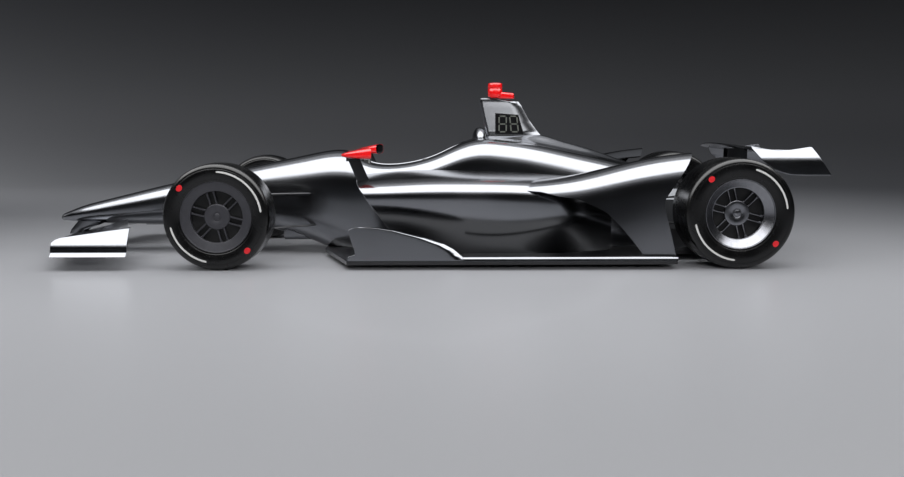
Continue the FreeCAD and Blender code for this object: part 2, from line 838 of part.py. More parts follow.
# Sidepod rows: share of its length, then the control points of the outside from the tub over the
# shoulder and down the flank to the foot, as shares of the half width and of the height
POD_SHARES = (
    (0.000, ((0.244, 0.959), (0.366, 0.955), (0.585, 0.943), (0.805, 0.918), (0.933, 0.856),
             (0.970, 0.744), (0.945, 0.569), (0.854, 0.375), (0.732, 0.200), (0.659, 0.0))),
    (0.128, ((0.244, 1.010), (0.390, 1.000), (0.598, 0.975), (0.817, 0.938), (0.951, 0.867),
             (0.988, 0.744), (0.957, 0.559), (0.854, 0.354), (0.732, 0.180), (0.671, 0.0))),
    (0.280, ((0.244, 1.041), (0.402, 1.027), (0.610, 1.000), (0.829, 0.963), (0.963, 0.887),
             (1.002, 0.754), (0.976, 0.559), (0.890, 0.354), (0.793, 0.170), (0.732, 0.0))),
    (0.463, ((0.244, 1.041), (0.427, 1.027), (0.634, 1.000), (0.841, 0.963), (0.970, 0.887),
             (1.007, 0.754), (0.985, 0.559), (0.927, 0.354), (0.854, 0.170), (0.793, 0.0))),
    (0.646, ((0.244, 1.021), (0.427, 1.006), (0.622, 0.979), (0.817, 0.943), (0.933, 0.867),
             (0.963, 0.733), (0.951, 0.539), (0.909, 0.344), (0.841, 0.170), (0.780, 0.0))),
    (0.829, ((0.244, 0.979), (0.402, 0.965), (0.561, 0.934), (0.695, 0.893), (0.793, 0.815),
             (0.820, 0.692), (0.815, 0.508), (0.780, 0.323), (0.732, 0.159), (0.683, 0.0))),
    (1.000, ((0.244, 0.918), (0.354, 0.902), (0.451, 0.873), (0.537, 0.826), (0.604, 0.754),
             (0.624, 0.641), (0.622, 0.477), (0.604, 0.313), (0.573, 0.159), (0.537, 0.0))),
)
POD_STEPS = 18


def moulded(rows):
    """A solid with a curved outside: a skin through the rows from their top to their foot, closed
    flat at both ends, along its inner side and below."""
    outside, (front, rear, crest, foot) = skin(rows)
    ends = (rows[0], rows[-1])
    corners = [V(row[0].x, row[0].y, row[-1].z) for row in ends]
    heel = line(corners[0], corners[1])
    uprights = [line(corner, row[0]) for corner, row in zip(corners, ends)]
    soles = [line(corner, row[-1]) for corner, row in zip(corners, ends)]
    return closed([outside, lid([front, uprights[0], soles[0]]), lid([rear, uprights[1], soles[1]]),
                   lid([crest, heel] + uprights), lid([foot, heel] + soles)])


def sidepod_form():
    """The left sidepod with its slanted mouth, before the body is cut from it."""
    seat = FLOOR_TOP.value + mm("fit_gap")
    rows = []
    for along, shares in POD_SHARES:
        x = x_at(mm("pod_front") + along * mm("pod_length"))
        poles = [(y * mm("pod_half_width"), seat + z * (mm("pod_height") - seat)) for y, z in shares]
        rows.append(poled_points(x, poles, POD_STEPS))
    form = moulded(rows)

    lip_top = x_at(mm("pod_lip_top_station"))
    lip_low = x_at(mm("pod_lip_low_station"))
    slope = (lip_top - lip_low) / (mm("pod_lip_top") - mm("pod_lip_low"))
    ahead = lip_top + mm("pod_length")
    high = mm("pod_height") + mm("cut_over")
    wedge = [(lip_low - slope * mm("pod_lip_low"), 0), (lip_top + slope * (high - mm("pod_lip_top")), high),
             (ahead, high), (ahead, 0)]
    form = form.cut(side_plate(wedge, 0, mm("pod_half_width") + mm("cut_over")))

    mouth = box(lip_low - mm("inlet_depth"), ahead, mm("inlet_inner"), mm("inlet_outer"), mm("inlet_low"),
                mm("inlet_high"))
    long_edges = [e for e in mouth.Edges if abs(e.Vertexes[0].X - e.Vertexes[1].X) > mm("cut_over")]
    return form.cut(mouth.makeFillet(mm("inlet_corner"), long_edges))


POD = sidepod_form().cut(BODY_SEAT)


def sidepods():
    """Left and right sidepods, seated on the floor and against the body."""
    for name, side in SIDES:
        feature(f"sidepod_{name}", on_side(POD, side))


# Wheel ramp rows: share of its length, then control points from the deck's inner edge over the
# crest and down the outer wall, as shares of its outer half width and of its height over the lip
RAMP_SHARES = (
    (0.000, ((0.552, 0.703), (0.597, 0.700), (0.663, 0.690), (0.740, 0.673), (0.823, 0.616),
             (0.856, 0.531), (0.856, 0.285), (0.851, 0.000))),
    (0.177, ((0.552, 0.714), (0.597, 0.716), (0.663, 0.714), (0.762, 0.700), (0.856, 0.652),
             (0.897, 0.547), (0.912, 0.285), (0.917, 0.000))),
    (0.354, ((0.552, 0.736), (0.597, 0.747), (0.663, 0.755), (0.773, 0.747), (0.884, 0.698),
             (0.935, 0.572), (0.950, 0.285), (0.956, 0.000))),
    (0.575, ((0.552, 0.806), (0.608, 0.831), (0.707, 0.852), (0.807, 0.845), (0.919, 0.780),
             (0.968, 0.629), (0.978, 0.301), (0.983, 0.000))),
    (0.796, ((0.552, 0.867), (0.641, 0.916), (0.729, 0.945), (0.829, 0.932), (0.939, 0.862),
             (0.990, 0.695), (0.994, 0.334), (0.994, 0.000))),
    (1.000, ((0.552, 0.900), (0.652, 0.965), (0.740, 0.995), (0.840, 0.977), (0.948, 0.911),
             (0.997, 0.744), (1.000, 0.367), (1.000, 0.000))),
)
# How far the wall's inner skin lies inwards of and below each control point, as shares of the wall
RAMP_INNER_SHARES = ((0.0, 1.0), (0.0, 1.0), (0.0, 1.0), (0.2, 1.0), (0.8, 0.8), (1.0, 0.2),
                     (1.0, 0.0), (1.0, 0.0))
# The ramp from the side: its rear edge down to the lip, then its lower front edge up to its start
RAMP_SIDE_SHARES = ((0.0, 1.2), (1.0, 1.2), (0.998, 1.006), (0.959, 0.926), (0.872, 0.695),
                    (0.813, 0.536), (0.814, 0.459), (0.852, 0.186), (0.876, 0.0), (0.708, 0.0),
                    (0.648, 0.147), (0.577, 0.300), (0.509, 0.421), (0.456, 0.470), (0.372, 0.537),
                    (0.267, 0.567), (0.180, 0.606), (0.0, 0.629))
RAMP_STEPS = 14


def ramp_form(walls, over):
    """The ramp as a full body, taken in by a wall and run out past its flat faces by an overrun."""
    low = FLOOR_TOP.value + mm("floor_lip_height") + mm("fit_gap")
    last = len(RAMP_SHARES) - 1
    rows = []
    for i, (along, shares) in enumerate(RAMP_SHARES):
        beyond = over if i == last else -over if i == 0 else 0
        x = x_at(mm("ramp_front") + along * mm("ramp_length") + beyond)
        poles = [(y * mm("ramp_outer") - inwards * walls, low + z * mm("ramp_height") - under * walls)
                 for (y, z), (inwards, under) in zip(shares, RAMP_INNER_SHARES)]
        poles[0] = (poles[0][0] - over, poles[0][1])
        poles[-1] = (poles[-1][0], poles[-1][1] - over)
        rows.append(poled_points(x, poles, RAMP_STEPS))
    return moulded(rows)


def wheel_ramps():
    """Kick-ups ahead of the rear wheels: one curved wall that is a deck inside and a flank outside."""
    wall = ramp_form(0, 0).cut(ramp_form(mm("ramp_wall"), mm("cut_over")))
    low = FLOOR_TOP.value + mm("floor_lip_height") + mm("fit_gap")
    outline = share_outline(RAMP_SIDE_SHARES, mm("ramp_front"), mm("ramp_length"), low, mm("ramp_height"))
    trim = side_plate(outline, 0, mm("ramp_outer") + mm("cut_over"))
    solid = clear_of(wall.common(trim), POD)
    for name, side in SIDES:
        feature(f"wheel_ramp_{name}", on_side(solid, side))


# The fence from the side, as shares of its length and height: down its front edge, back along its
# foot, and up and forward along its curved top
FENCE_SHARES = ((0.041, 0.985), (0.012, 0.899), (0.048, 0.487), (0.08, 0.191), (0.0, 0.121), (0.0, 0.0),
                (1.0, 0.0), (1.0, 0.111), (0.94, 0.286), (0.83, 0.48), (0.718, 0.628), (0.59, 0.77),
                (0.464, 0.879), (0.295, 0.97), (0.126, 1.0))


def floor_fences():
    """Upright vanes that stand on the front outer corners of the floor."""
    low = FLOOR_TOP.value + mm("fit_gap")
    points = share_outline(FENCE_SHARES, mm("fence_front"), mm("fence_length"), low, mm("fence_height"))
    outer = mm("floor_half_width")
    left = side_plate(points, outer - mm("fence_thick"), outer)
    feature("floor_fences", Part.makeCompound([left, mirrored(left)]))


# The fin from the side, as shares of its length and height: along its top, down its swept back edge
# to the engine cover, and up its front edge
FIN_SHARES = ((0.0, 0.97), (0.053, 1.0), (0.456, 0.937), (0.489, 0.882), (0.596, 0.613), (0.77, 0.248),
              (1.0, 0.0), (0.101, 0.0), (0.101, 0.076), (0.042, 0.529), (0.007, 0.828))


def fin_outline():
    """The fin seen from the side."""
    return share_outline(FIN_SHARES, mm("fin_front"), mm("fin_length"), mm("fin_low"), mm("fin_height"))


def roll_hoop_fin():
    """The tall fin on the engine cover, with the rounded crown of the roll hoop at its foot."""
    half = mm("fin_thick") / 2
    plate = side_plate(fin_outline(), -half, half)
    centre = V(x_at(mm("hoop_station")), 0, mm("hoop_high") - mm("hoop_radius"))
    tip = centre + V(0, mm("hoop_half_width"), 0)
    top = centre + V(0, 0, mm("hoop_radius"))
    arch = Part.Arc(Part.Ellipse(tip, top, centre), 0, math.pi).toShape()
    crown = Part.Solid(Part.Shell(arch.revolve(centre, V(0, 1, 0), 360).Faces))
    feature("roll_hoop_fin", joined([plate, crown]).cut(BODY_SEAT))


def camera_pod():
    """A round camera housing and the box behind it, on the fin's top edge."""
    x = x_at(mm("pod_station"))
    can = rod(V(x, 0, mm("pod_low")), V(x, 0, mm("pod_high")), mm("pod_radius"))
    half = mm("pod_box_half")
    tail = box(x_at(mm("pod_box_end")), x, -half, half, mm("pod_low"), mm("pod_box_high"))
    wide = mm("pod_radius") + mm("cut_over")
    below = raised(side_plate(fin_outline(), -wide, wide), mm("fit_gap"))
    feature("camera_pod", joined([can, tail]).cut(below))


# A display panel from the side, cut off along the fin's swept back edge
PANEL_SHARES = ((0.0, 1.0), (0.79, 0.92), (1.0, 0.0), (0.0, 0.0))


def number_panels():
    """Flat display panels, one on each side of the fin."""
    outline = share_outline(PANEL_SHARES, mm("panel_front"), mm("panel_length"), mm("panel_low"),
                            mm("panel_height"))
    low = mm("fin_thick") / 2 + mm("fit_gap")
    left = side_plate(outline, low, low + mm("panel_thick")).cut(BODY_SEAT)
    feature("number_panels", Part.makeCompound([left, mirrored(left)]))


def mirrors():
    """Rounded mirror pods on swept vanes that stand on the sidepods, with glass in their backs."""
    front = x_at(mm("mirror_front"))
    rear = front - mm("mirror_length")
    inner = mm("mirror_side") - mm("mirror_width") / 2
    outer = inner + mm("mirror_width")
    pod = box(rear, front, inner, outer, mm("mirror_low"), mm("mirror_high"))
    rounded = [edge for edge in pod.Edges if edge.CenterOfMass.x > rear + mm("fit_gap")]
    pod = pod.makeFillet(mm("mirror_round"), rounded)
    back = min(pod.Faces, key=lambda face: face.CenterOfMass.x).copy()
    back.translate(V(-mm("fit_gap"), 0, 0))
    glass = back.extrude(V(-mm("mirror_glass_thick"), 0, 0))
    half = mm("mirror_stalk_thick") / 2
    foot = mm("pod_lip_top") - mm("cut_over")
    sweep = mm("mirror_stalk_sweep") * (1 + mm("cut_over") / (mm("mirror_low") - mm("pod_lip_top")))
    top = mm("mirror_low") - mm("fit_gap")
    ahead = front - mm("mirror_round")
    outline = [(ahead, top), (ahead - mm("mirror_stalk_chord"), top),
               (ahead - mm("mirror_stalk_chord") - sweep, foot), (ahead - sweep, foot)]
    vane = side_plate(outline, mm("mirror_side") - half, mm("mirror_side") + half)
    stalk = clear_of(vane, POD)
    for label, shape in (("mirror_pods", pod), ("mirror_glasses", glass), ("mirror_stalks", stalk)):
        feature(label, Part.makeCompound([shape, mirrored(shape)]))


# A wing section: share of the chord behind the leading edge, share of the thickness over and under
WING_UPPER_SHARES = ((0.0, 0.0), (0.03, 0.22), (0.15, 0.42), (0.4, 0.50), (0.75, 0.30), (1.0, 0.04))
WING_LOWER_SHARES = ((0.0, 0.0), (0.03, -0.20), (0.15, -0.38), (0.4, -0.46), (0.75, -0.28), (1.0, -0.04))


def wing_ring(lead, y, low, chord, rise, thick):
    """One wing section: two curves and a blunt trailing edge, set at a slope."""
    def place(share):
        along, over = share
        return V(lead - along * chord, y, low + along * rise + over * thick)

    curves = []
    for shares in (WING_UPPER_SHARES, WING_LOWER_SHARES[::-1]):
        curve = Part.BSplineCurve()
        curve.interpolate([place(share) for share in shares])
        curves.append(curve.toShape())
    blunt = Part.LineSegment(place(WING_UPPER_SHARES[-1]), place(WING_LOWER_SHARES[-1])).toShape()
    return Part.Wire([curves[0], blunt, curves[1]])


def front_wing_plane():
    """The swept main plane, from endplate to endplate under the nose."""
    tip = mm("front_wing_half") - mm("fit_gap")
    places = ((0, mm("front_wing_lead_centre")), (mm("front_wing_break"), mm("front_wing_lead_break")),
              (tip, mm("front_wing_lead_tip")))
    rings = [wing_ring(x_at(-lead), y, mm("front_wing_low"), mm("front_wing_chord"), mm("front_wing_rise"),
                       mm("front_wing_thick")) for y, lead in places]
    left = Part.makeLoft(rings, True, True)
    feature("front_wing_plane", joined([left, mirrored(left)]))


def front_wing_flaps():
    """Upper flaps behind the main plane, outboard of the nose."""
    tip = mm("front_wing_half") - mm("fit_gap")
    rings = []
    for y, lead in ((mm("front_wing_break"), mm("front_wing_lead_break")), (tip, mm("front_wing_lead_tip"))):
        start = x_at(mm("front_wing_chord") - mm("flap_slot") - lead)
        low = mm("front_wing_low") + mm("front_wing_rise") + mm("flap_slot")
        rings.append(wing_ring(start, y, low, mm("flap_chord"), mm("flap_rise"), mm("flap_thick")))
    left = Part.makeLoft(rings, True, True)
    feature("front_wing_flaps", Part.makeCompound([left, mirrored(left)]))


# A front endplate from the side: up its rounded front, back along its rising top edge, down its
# back edge and forward along its foot
FRONT_PLATE_SHARES = ((0.0, 0.509), (0.05, 0.62), (0.108, 0.677), (0.98, 1.0), (0.998, 1.0), (0.962, 0.565),
                      (1.0, 0.0), (0.016, 0.0))


def front_wing_endplates():
    """Endplates with a foot along their lower edge."""
    points = share_outline(FRONT_PLATE_SHARES, -mm("front_plate_front"), mm("front_plate_length"),
                           mm("front_plate_low"), mm("front_plate_height"))
    inner = mm("front_wing_half")
    plate = side_plate(points, inner, inner + mm("front_plate_thick"))
    front = x_at(-mm("front_plate_front"))
    low = mm("front_plate_low")
    foot = box(front - mm("front_plate_length"), front, inner - mm("front_foot_width"),
               inner + mm("front_plate_thick"), low, low + mm("front_foot_thick"))
    left = joined([plate, foot])
    feature("front_wing_endplates", Part.makeCompound([left, mirrored(left)]))


# A front wing plate from the side: its top runs into the nose, and its foot stands on the plane
PYLON_SHARES = ((0.208, 0.744), (0.312, 1.0), (1.0, 0.95), (0.45, 0.30), (0.30, 0.10), (0.12, 0.10),
                (0.0, 0.20))


def front_wing_pylons():
    """Two plates that hang the front wing from the nose."""
    points = share_outline(PYLON_SHARES, -mm("pylon_front"), mm("pylon_length"), mm("pylon_low"),
                           mm("pylon_height"))
    plate = side_plate(points, mm("pylon_side"), mm("pylon_side") + mm("pylon_thick"))
    wing = doc.getObject("front_wing_plane").Shape
    plate = plate.cut(BODY_SEAT).cut(raised(wing, mm("fit_gap")))
    plate = max(plate.Solids, key=lambda solid: solid.Volume)
    feature("front_wing_pylons", Part.makeCompound([plate, mirrored(plate)]))


def rear_wing_plane():
    """The shallow rear wing, its leading edge bowed forward in the middle."""
    tip = mm("rear_wing_half") - mm("fit_gap")
    rings = []
    for share in (-1, -0.5, 0, 0.5, 1):
        bow = mm("rear_wing_bow") * (1 - share * share)
        rings.append(wing_ring(x_at(mm("rear_wing_front") - bow), share * tip, mm("rear_wing_high"),
                               mm("rear_wing_chord") + bow, 0, mm("rear_wing_thick")))
    feature("rear_wing_plane", Part.makeLoft(rings, True))


# A rear endplate from the side: back along its dished top, down its raked back edge, forward along
# its straight foot and up its rising front
REAR_PLATE_SHARES = ((0.0, 1.0), (0.263, 0.88), (0.485, 0.864), (0.768, 0.978), (0.842, 0.625), (1.0, 0.0),
                     (0.485, 0.0), (0.32, 0.10), (0.15, 0.42), (0.0, 0.90))


def rear_wing_endplates():
    """Endplates of the rear wing."""
    points = share_outline(REAR_PLATE_SHARES, mm("rear_plate_front"), mm("rear_plate_length"),
                           mm("rear_plate_low"), mm("rear_plate_height"))
    inner = mm("rear_wing_half")
    left = side_plate(points, inner, inner + mm("rear_plate_thick"))
    feature("rear_wing_endplates", Part.makeCompound([left, mirrored(left)]))


def rear_wing_pylons():
    """Twin plates from the gearbox to the rear wing's underside."""
    start = x_at(mm("rear_pylon_front"))
    low = mm("gearbox_rear_high") / 2
    top = mm("rear_wing_high")
    chord = mm("rear_pylon_chord")
    outline = [(start, top), (start - chord, top), (start - chord, low), (start, low)]
    plate = side_plate(outline, mm("rear_pylon_side"), mm("rear_pylon_side") + mm("rear_pylon_thick"))
    wing = doc.getObject("rear_wing_plane").Shape
    wing = wing.copy()
    wing.translate(V(0, 0, -mm("fit_gap")))
    plate = plate.cut(wing).cut(raised(doc.getObject("gearbox").Shape, mm("fit_gap")))
    crash = doc.getObject("rear_crash_structure").Shape
    plate = plate.cut(raised(crash, mm("fit_gap")))
    plate = max(plate.Solids, key=lambda solid: solid.BoundBox.ZMax)
    feature("rear_wing_pylons", Part.makeCompound([plate, mirrored(plate)]))


def wishbone_pair(axle_x, side_out, centre, upper_roots, lower_roots, root_side, seats):
    """Upper and lower wishbones on the left, each two streamlined legs on one ball joint."""
    lift = mm("upright_half_height") + mm("fit_gap")
    arms = []
    for way, roots in ((1, upper_roots), (-1, lower_roots)):
        near = centre + way * lift
        far = near + way * mm("joint_height")
        hold = V(axle_x, side_out, (near + far) / 2)
        legs = [blade(hold, V(root_x, root_side, root_z), mm("leg_chord"), mm("leg_thick"))
                for root_x, root_z in roots]
        joint = rod(V(axle_x, side_out, near), V(axle_x, side_out, far), mm("joint_radius"))
        arm = joined([joint] + legs)
        for seat in seats:
            arm = arm.cut(seat)
        arms.append(max(arm.Solids, key=lambda solid: solid.Volume))
    return arms


# Where the pushrod stands on the lower front leg, as a share of the leg from its ball joint
PUSHROD_FOOT_SHARE = 0.13


def front_suspension():
    """Front wishbones rooted on the tub, each lower one with a pushrod up to the rocker in the nose."""
    axle = FRONT_AXLE.value
    centre = mm("front_tyre_radius")
    upper = ((axle + mm("front_upper_lead"), mm("front_upper_root_high")),
             (axle - mm("front_upper_trail"), mm("front_upper_root_high")))
    lower = ((axle + mm("front_lower_lead"), mm("front_lower_root_high")),
             (axle - mm("front_lower_trail"), mm("front_lower_root_high")))
    root_side = mm("front_leg_root")
    above, below = wishbone_pair(axle, KINGPIN.value, centre, upper, lower, root_side, [BODY_SEAT])
    hold = V(axle, KINGPIN.value, centre - mm("upright_half_height") - mm("joint_height") / 2)
    root = V(lower[0][0], root_side, lower[0][1])
    foot = hold + (root - hold) * PUSHROD_FOOT_SHARE
    pushrod = rod(foot, V(foot.x, mm("pushrod_root_side"), mm("pushrod_root_high")), mm("pushrod_radius"))
    pushrod = pushrod.cut(BODY_SEAT)
    below = joined([below, max(pushrod.Solids, key=lambda solid: solid.BoundBox.YMax)])
    for name, side in SIDES:
        feature(f"front_suspension_{name}", Part.makeCompound([on_side(arm, side) for arm in (above, below)]))


def rear_suspension():
    """Rear wishbones, rooted on the gearbox."""
    axle = REAR_AXLE.value
    centre = mm("rear_tyre_radius")
    upper = ((axle + mm("rear_leg_lead"), mm("rear_upper_root_high")),
             (axle - mm("rear_leg_trail"), mm("rear_upper_root_high")))
    lower = ((axle + mm("rear_leg_lead"), mm("rear_lower_root_high")),
             (axle - mm("rear_leg_trail"), mm("rear_lower_root_high")))
    seats = [doc.getObject("gearbox").Shape]
    arms = wishbone_pair(axle, REAR_UPRIGHT.value, centre, upper, lower, mm("gearbox_rear_half") / 2, seats)
    for name, side in SIDES:
        feature(f"rear_suspension_{name}", Part.makeCompound([on_side(arm, side) for arm in arms]))


def upright_form(axle_x, side_out, centre, caliper_way):
    """An upright on the left, with its bearing bore and a caliper round the disc, ahead of the axle
    (1) or behind it (-1)."""
    half = mm("upright_half_thick")
    block = box(axle_x - mm("upright_half_length"), axle_x + mm("upright_half_length"), side_out - half,
                side_out + half, centre - mm("upright_half_height"), centre + mm("upright_half_height"))
    inner = side_out + half - mm("caliper_wall")
    disc_low = side_out + half + mm("run_gap")
    disc_high = disc_low + mm("disc_thick")
    outer = disc_high + mm("run_gap") + mm("caliper_wall")
    slot_reach = mm("disc_radius") + mm("run_gap")
    reach = slot_reach + mm("caliper_wall")
    near = slot_reach - mm("caliper_reach")
    tall = mm("caliper_half_height")
    ends = sorted((axle_x + caliper_way * near, axle_x + caliper_way * reach))
    caliper = box(ends[0], ends[1], inner, outer, centre - tall, centre + tall)
    slot = rod(V(axle_x, disc_low - mm("run_gap"), centre), V(axle_x, disc_high + mm("run_gap"), centre),
               slot_reach)
    ends = sorted((axle_x, axle_x + caliper_way * (near + mm("caliper_wall"))))
    bridge = box(ends[0], ends[1], inner, side_out + half, centre - tall / 2, centre + tall / 2)
    bore = rod(V(axle_x, side_out - 2 * half, centre), V(axle_x, outer, centre),
               mm("hub_radius") + mm("fit_gap"))
    return joined([block, caliper.cut(slot), bridge]).cut(bore)


def front_knuckles():
    """Steered uprights, each with its steering arm ahead of the kingpin."""
    axle = FRONT_AXLE.value
    centre = mm("front_tyre_radius")
    side_out = KINGPIN.value
    form = upright_form(axle, side_out, centre, -1)
    top = rack_height() - mm("steer_eye_radius") / 2 - mm("fit_gap")
    low = top - mm("steer_arm_thick")
    eye_x = axle + mm("steer_arm")
    arm = box(axle, eye_x, side_out - mm("steer_eye_radius"), side_out + mm("steer_eye_radius"), low, top)
    eye = rod(V(eye_x, side_out, low), V(eye_x, side_out, top), mm("steer_eye_radius"))
    bore = rod(V(axle, 0, centre), V(axle, side_out * 2, centre), mm("hub_radius") + mm("fit_gap"))
    form = joined([form, arm, eye]).cut(bore)
    for name, side in SIDES:
        feature(f"front_{name}_knuckle", on_side(form, side))


def rear_uprights():
    """Uprights that carry the rear hubs, held by the rear wishbones."""
    form = upright_form(REAR_AXLE.value, REAR_UPRIGHT.value, mm("rear_tyre_radius"), 1)
    feature("rear_uprights", Part.makeCompound([form, mirrored(form)]))


def brake_discs():
    """Disc, bell and hub shaft behind each wheel face; the rear ones with their drive shaft."""
    for end in ("front", "rear"):
        axle = FRONT_AXLE.value if end == "front" else REAR_AXLE.value
        centre = mm(f"{end}_tyre_radius")
        side_out = KINGPIN.value if end == "front" else REAR_UPRIGHT.value
        face = mm("tyre_outer_half") - mm("rim_inset") - mm(f"{end}_dish")
        disc_low = side_out + mm("upright_half_thick") + mm("run_gap")
        disc_high = disc_low + mm("disc_thick")
        outer = face - mm("spoke_depth") - mm("fit_gap")
        stages = [(disc_low, disc_high, mm("disc_radius")), (disc_high, outer, mm("bell_radius")),
                  (side_out - mm("upright_half_thick"), disc_low, mm("hub_radius"))]
        if end == "rear":
            inner = gearbox_half(mm("wheel_base")) + mm("run_gap")
            stages.append((inner, side_out, mm("drive_radius")))
            stages.append((inner, inner + mm("drive_flange_radius"), mm("drive_flange_radius")))
        form = joined([rod(V(axle, low, centre), V(axle, high, centre), radius)
                       for low, high, radius in stages])
        for name, side in SIDES:
            feature(f"{end}_{name}_brake_disc", on_side(form, side))


def steering_rack():
    """The rack bar with a rod end at each side, over the steering arms' eyes."""
    x = FRONT_AXLE.value + mm("steer_arm")
    reach = KINGPIN.value
    z = rack_height()
    half = mm("steer_eye_radius") / 2
    bar = rod(V(x, -reach, z), V(x, reach, z), mm("rack_radius") / 2)
    middle = rod(V(x, -mm("tub_half_width"), z), V(x, mm("tub_half_width"), z), mm("rack_radius"))
    eyes = [rod(V(x, side * reach, z - half), V(x, side * reach, z + half), mm("steer_eye_radius"))
            for _, side in SIDES]
    feature("steering_rack", joined([bar, middle] + eyes))


def column_centre():
    """Centre of the steering wheel, on the column's axis, which runs along the car."""
    return V(behind_nose(mm("wheel_station")), 0, mm("wheel_centre_high"))


# Length of a hand grip as a share of the steering wheel's half width
GRIP_SHARE = 0.7


def steering_wheel():
    """A flat steering wheel with a grip on each side, on its column."""
    centre = column_centre()
    grip = mm("wheel_rim_radius")
    half = mm("wheel_grip_radius") - grip
    plate = box(centre.x - grip / 2, centre.x + grip / 2, -half, half,
                centre.z - half / 2, centre.z + half / 2)
    up = V(0, 0, half * GRIP_SHARE)
    grips = [rod(V(centre.x, side * half, centre.z) - up, V(centre.x, side * half, centre.z) + up, grip)
             for _, side in SIDES]
    end = behind_nose(mm("cockpit_front")) - mm("fit_gap") - mm("dash_thick") / 2
    shaft = rod(centre, V(end, 0, centre.z), mm("column_radius"))
    feature("steering_wheel", joined([plate, shaft] + grips))


def dashboard():
    """The dash bulkhead under the tub's lip, with the column's bush."""
    front = behind_nose(mm("cockpit_front")) - mm("fit_gap")
    half = mm("dash_half_width")
    block = box(front - mm("dash_thick"), front, -half, half, mm("dash_low"), mm("dash_high"))
    centre = column_centre()
    bore = rod(centre, V(front, 0, centre.z), mm("column_radius") + mm("fit_gap"))
    feature("dashboard", block.cut(bore))


def cockpit_inside(shape):
    """What of a shape lies inside the cockpit's walls."""
    half = mm("cockpit_half_width") - mm("fit_gap")
    front = behind_nose(mm("cockpit_front"))
    rear = front - mm("cockpit_length") + mm("fit_gap")
    room = box(rear, front, -half, half, mm("cockpit_floor") + mm("fit_gap"), mm("body_height"))
    corners = [e for e in room.Edges if abs(e.Vertexes[0].Z - e.Vertexes[1].Z) > mm("cut_over")]
    return shape.common(room.makeFillet(mm("cockpit_corner"), corners))


def seat():
    """The reclined seat: a bent slab along the cockpit's floor and rear wall."""
    rear = behind_nose(mm("cockpit_front") + mm("cockpit_length"))
    low = mm("cockpit_floor") + mm("fit_gap")
    thick = mm("seat_thick")
    high = mm("headrest_low") - mm("fit_gap")
    front = behind_nose(mm("seat_front"))
    knee = rear + (mm("cockpit_length") - mm("seat_front") + mm("cockpit_front")) / 2
    outline = [(front, low), (rear, low), (rear, high), (rear + thick, high), (knee, low + thick),
               (front, low + thick)]
    half = mm("seat_half_width")
    feature("seat", cockpit_inside(side_plate(outline, -half, half)))


def headrest():
    """The padded surround at the head's sides and back."""
    rear = behind_nose(mm("cockpit_front") + mm("cockpit_length"))
    half = mm("cockpit_half_width")
    low = mm("headrest_low")
    high = low + mm("headrest_thick")
    block = box(rear, rear + mm("headrest_length"), -half, half, low, high)
    over = mm("cut_over")
    gap = box(rear + mm("headrest_back"), rear + mm("headrest_length") + over, -half + mm("headrest_arm"),
              half - mm("headrest_arm"), low - over, high + over)
    feature("headrest", cockpit_inside(block.cut(gap)))


for end in ("front", "rear"):
    for name, side in SIDES:
        tyre(end, name, side)
        rim(end, name, side)

nose_cone()
tub()
engine_cover()
engine_block()
gearbox()
crash_structure()
floor()
sidepods()
wheel_ramps()
floor_fences()
roll_hoop_fin()
camera_pod()
number_panels()
mirrors()
front_wing_plane()
front_wing_flaps()
front_wing_endplates()
front_wing_pylons()
rear_wing_plane()
rear_wing_endplates()
rear_wing_pylons()
front_suspension()
rear_suspension()
front_knuckles()
rear_uprights()
brake_discs()
steering_rack()
steering_wheel()
dashboard()
seat()
headrest()
doc.recompute()

# Every sub-part is a body, a primitive or a feature with a label of its own
KINDS = ("PartDesign::Body", "Part::Box", "Part::Feature")
parts = [item for item in doc.Objects if item.TypeId in KINDS]
for item in doc.Objects:
    if "Invalid" in item.State or "Error" in item.State:
        raise ValueError(f"{item.Label} is {item.State}")
for part in parts:
    if part.Shape.isNull() or not part.Shape.isValid() or not part.Shape.Solids:
        raise ValueError(f"{part.Label} has no valid solid")

os.makedirs("parts", exist_ok=True)
for part in parts:
    part.Shape.exportStep(f"parts/{part.Label}.step")
    print(part.Label, len(part.Shape.Solids), round(part.Shape.Volume))
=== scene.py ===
import json
import math

import bmesh
import bpy
import numpy as np
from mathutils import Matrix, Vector


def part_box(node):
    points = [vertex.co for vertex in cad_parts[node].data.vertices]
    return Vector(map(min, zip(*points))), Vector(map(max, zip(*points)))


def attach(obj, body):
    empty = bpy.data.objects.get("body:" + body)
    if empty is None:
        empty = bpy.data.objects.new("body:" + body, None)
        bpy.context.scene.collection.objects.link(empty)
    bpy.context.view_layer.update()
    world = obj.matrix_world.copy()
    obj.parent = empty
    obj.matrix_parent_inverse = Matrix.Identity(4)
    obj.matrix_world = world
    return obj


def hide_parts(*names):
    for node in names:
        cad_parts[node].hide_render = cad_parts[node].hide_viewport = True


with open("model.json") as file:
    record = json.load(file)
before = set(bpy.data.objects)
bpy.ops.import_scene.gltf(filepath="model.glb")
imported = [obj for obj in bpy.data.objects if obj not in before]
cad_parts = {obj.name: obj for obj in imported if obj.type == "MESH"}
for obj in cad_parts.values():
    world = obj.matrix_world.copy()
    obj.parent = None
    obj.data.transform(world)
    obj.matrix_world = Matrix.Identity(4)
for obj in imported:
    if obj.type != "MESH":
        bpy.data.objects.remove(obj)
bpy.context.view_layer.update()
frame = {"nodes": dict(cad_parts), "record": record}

# Studio
# A round cove of pale painted board, whose floor turns up into a wall, under a dim room and a
# broad soft box. Narrow ones light the car from each side, one lights the wall beyond the nose,
# and one the fin alone. The camera stands at the car's left, as the photograph's did.
front_axle = frame["record"]["behaviour"]["joints"][0]["pos_m"][0]


def linear(code):
    """sRGB hex digits to linear red, green, blue and alpha."""
    parts = [int(code[i:i + 2], 16) / 255 for i in (0, 2, 4)]
    curve = [p / 12.92 if p <= 0.04045 else ((p + 0.055) / 1.055) ** 2.4 for p in parts]
    return (*curve, 1.0)


